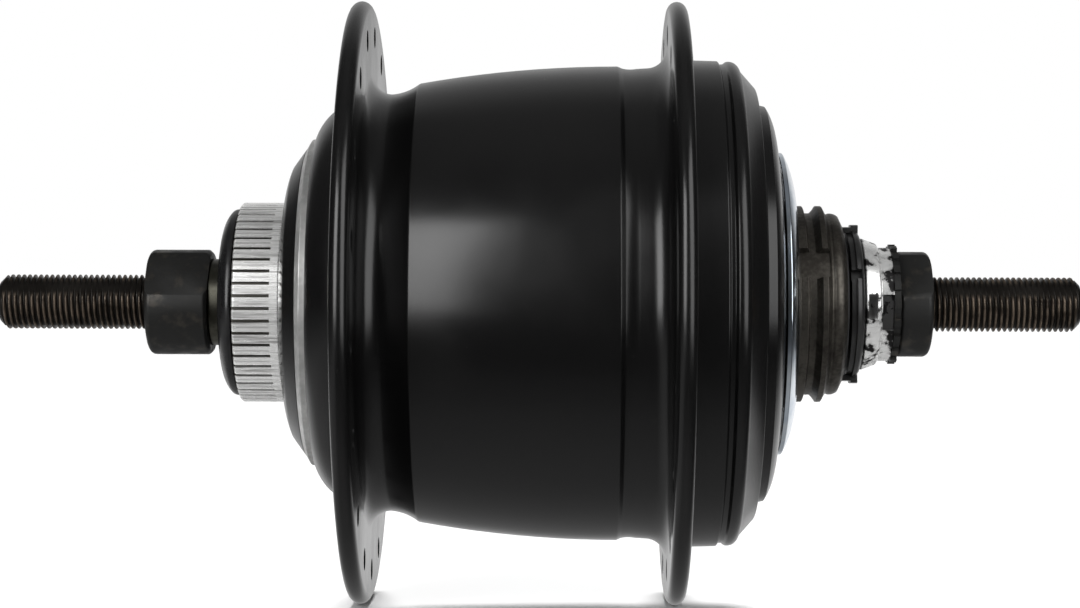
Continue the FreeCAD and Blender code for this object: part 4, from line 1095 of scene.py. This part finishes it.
def softbox(name, azimuth, elevation, distance, width, height, radiance):
    """A large soft light that faces the middle of the hub, in metres. Azimuth 0 is the camera's side."""
    data = bpy.data.lights.new(name, "AREA")
    data.shape = "RECTANGLE"
    data.size = width
    data.size_y = height
    data.energy = radiance * math.pi * width * height
    lamp = bpy.data.objects.new(name, data)
    turn = math.radians(azimuth)
    rise = math.radians(elevation)
    direction = Vector((math.sin(turn) * math.cos(rise), -math.cos(turn) * math.cos(rise), math.sin(rise)))
    lamp.location = direction * distance
    lamp.rotation_euler = direction.to_track_quat("Z", "Y").to_euler()
    lamp.visible_camera = False
    bpy.context.scene.collection.objects.link(lamp)


def sun(elevation, strength, angle):
    """A broad light from behind and above, for the floor."""
    data = bpy.data.lights.new("sun", "SUN")
    data.energy = strength
    data.angle = angle
    lamp = bpy.data.objects.new("sun", data)
    rise = math.radians(elevation)
    lamp.rotation_euler = Vector((0, math.cos(rise), math.sin(rise))).to_track_quat("Z", "Y").to_euler()
    lamp.visible_glossy = False
    bpy.context.scene.collection.objects.link(lamp)


def world():
    """White for the camera. Around the hub: a bright wall behind, and a dim room in front and beside."""
    scene = bpy.context.scene
    scene.world = bpy.data.worlds.new("studio")
    scene.world.use_nodes = True
    look = Nodes(scene.world.node_tree)
    x, y, z = look.split(look.coordinates["Generated"])
    ahead = look.calc("DIVIDE", y, look.calc("MAXIMUM", look.length(x, y), 0.001))
    low = look.remap(z, -0.35, 0.0, 1.0, 0.0)
    wall = look.remap(look.calc("ADD", ahead, look.calc("MULTIPLY", low, 0.25)), 0.70, 0.95, 0.0, 1.0)
    left_low = look.calc("MULTIPLY", look.remap(x, -0.85, -0.35, LEFT_GLOW, 0.0), low)
    room = look.calc("ADD", look.curve(z, ROOM_LEVELS), left_low)
    glow = look.calc("ADD", look.calc("MULTIPLY", wall, look.curve(z, WALL_LEVELS)),
                     look.calc("MULTIPLY", look.calc("SUBTRACT", 1.0, wall), room))
    seen = look.add("ShaderNodeLightPath").outputs["Is Camera Ray"]
    background = look.nodes["Background"]
    look.feed(background.inputs["Strength"], look.calc("MAXIMUM", glow, seen))
    look.feed(background.inputs["Color"], WHITE)


def floor():
    """A plain pale floor that the flanges stand on, deeper behind the hub than in front."""
    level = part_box("hub_shell")[0].z
    wide = FLOOR_HALF
    mesh = bpy.data.meshes.new("floor")
    corners = [(-wide, -wide, level), (wide, -wide, level), (wide, 3 * wide, level), (-wide, 3 * wide, level)]
    mesh.from_pydata(corners, [], [(0, 1, 2, 3)])
    ground = bpy.data.objects.new("floor", mesh)
    bpy.context.scene.collection.objects.link(ground)
    look = Finish("floor", 0.0)
    look.colour(look.blend(look.noise(look.place, 3.0, 2.0), *FLOOR_TONES))
    look.rough(0.9)
    look.shader.inputs["Specular IOR Level"].default_value = 0.0
    mesh.materials.append(look.material)
    ground.visible_glossy = False


def camera():
    """The photo's view: level, straight from the side, a little right of the middle."""
    data = bpy.data.cameras.new("camera")
    data.lens = FOCAL_LENGTH
    data.sensor_width = PICTURE_WIDTH
    data.clip_start = 0.01
    data.clip_end = 100.0
    eye = bpy.data.objects.new("camera", data)
    yaw, pitch, roll = (math.radians(angle) for angle in EYE_TURNS)
    forward = Vector((-math.sin(yaw), math.cos(yaw), -math.sin(pitch))).normalized()
    right = Vector((math.cos(roll), 0.0, math.sin(roll)))
    right = (right - forward * right.dot(forward)).normalized()
    up = right.cross(forward)
    turn = Matrix((right, up, -forward)).transposed()
    eye.matrix_world = Matrix.Translation([value * MM for value in EYE]) @ turn.to_4x4()
    bpy.context.scene.collection.objects.link(eye)
    bpy.context.scene.camera = eye


def main():
    """The dressed hub on its floor, lit and seen as in the photo."""
    build_pieces(make_finishes())
    floor()
    softbox("key", azimuth=-33.2, elevation=17.5, distance=0.9, width=0.48, height=0.72, radiance=5.4)
    softbox("fill", azimuth=45.0, elevation=20.0, distance=0.9, width=0.66, height=1.04, radiance=2.7)
    sun(elevation=35.0, strength=5.7, angle=0.2)
    world()
    camera()
    bpy.context.scene.view_settings.view_transform = "Standard"


main()
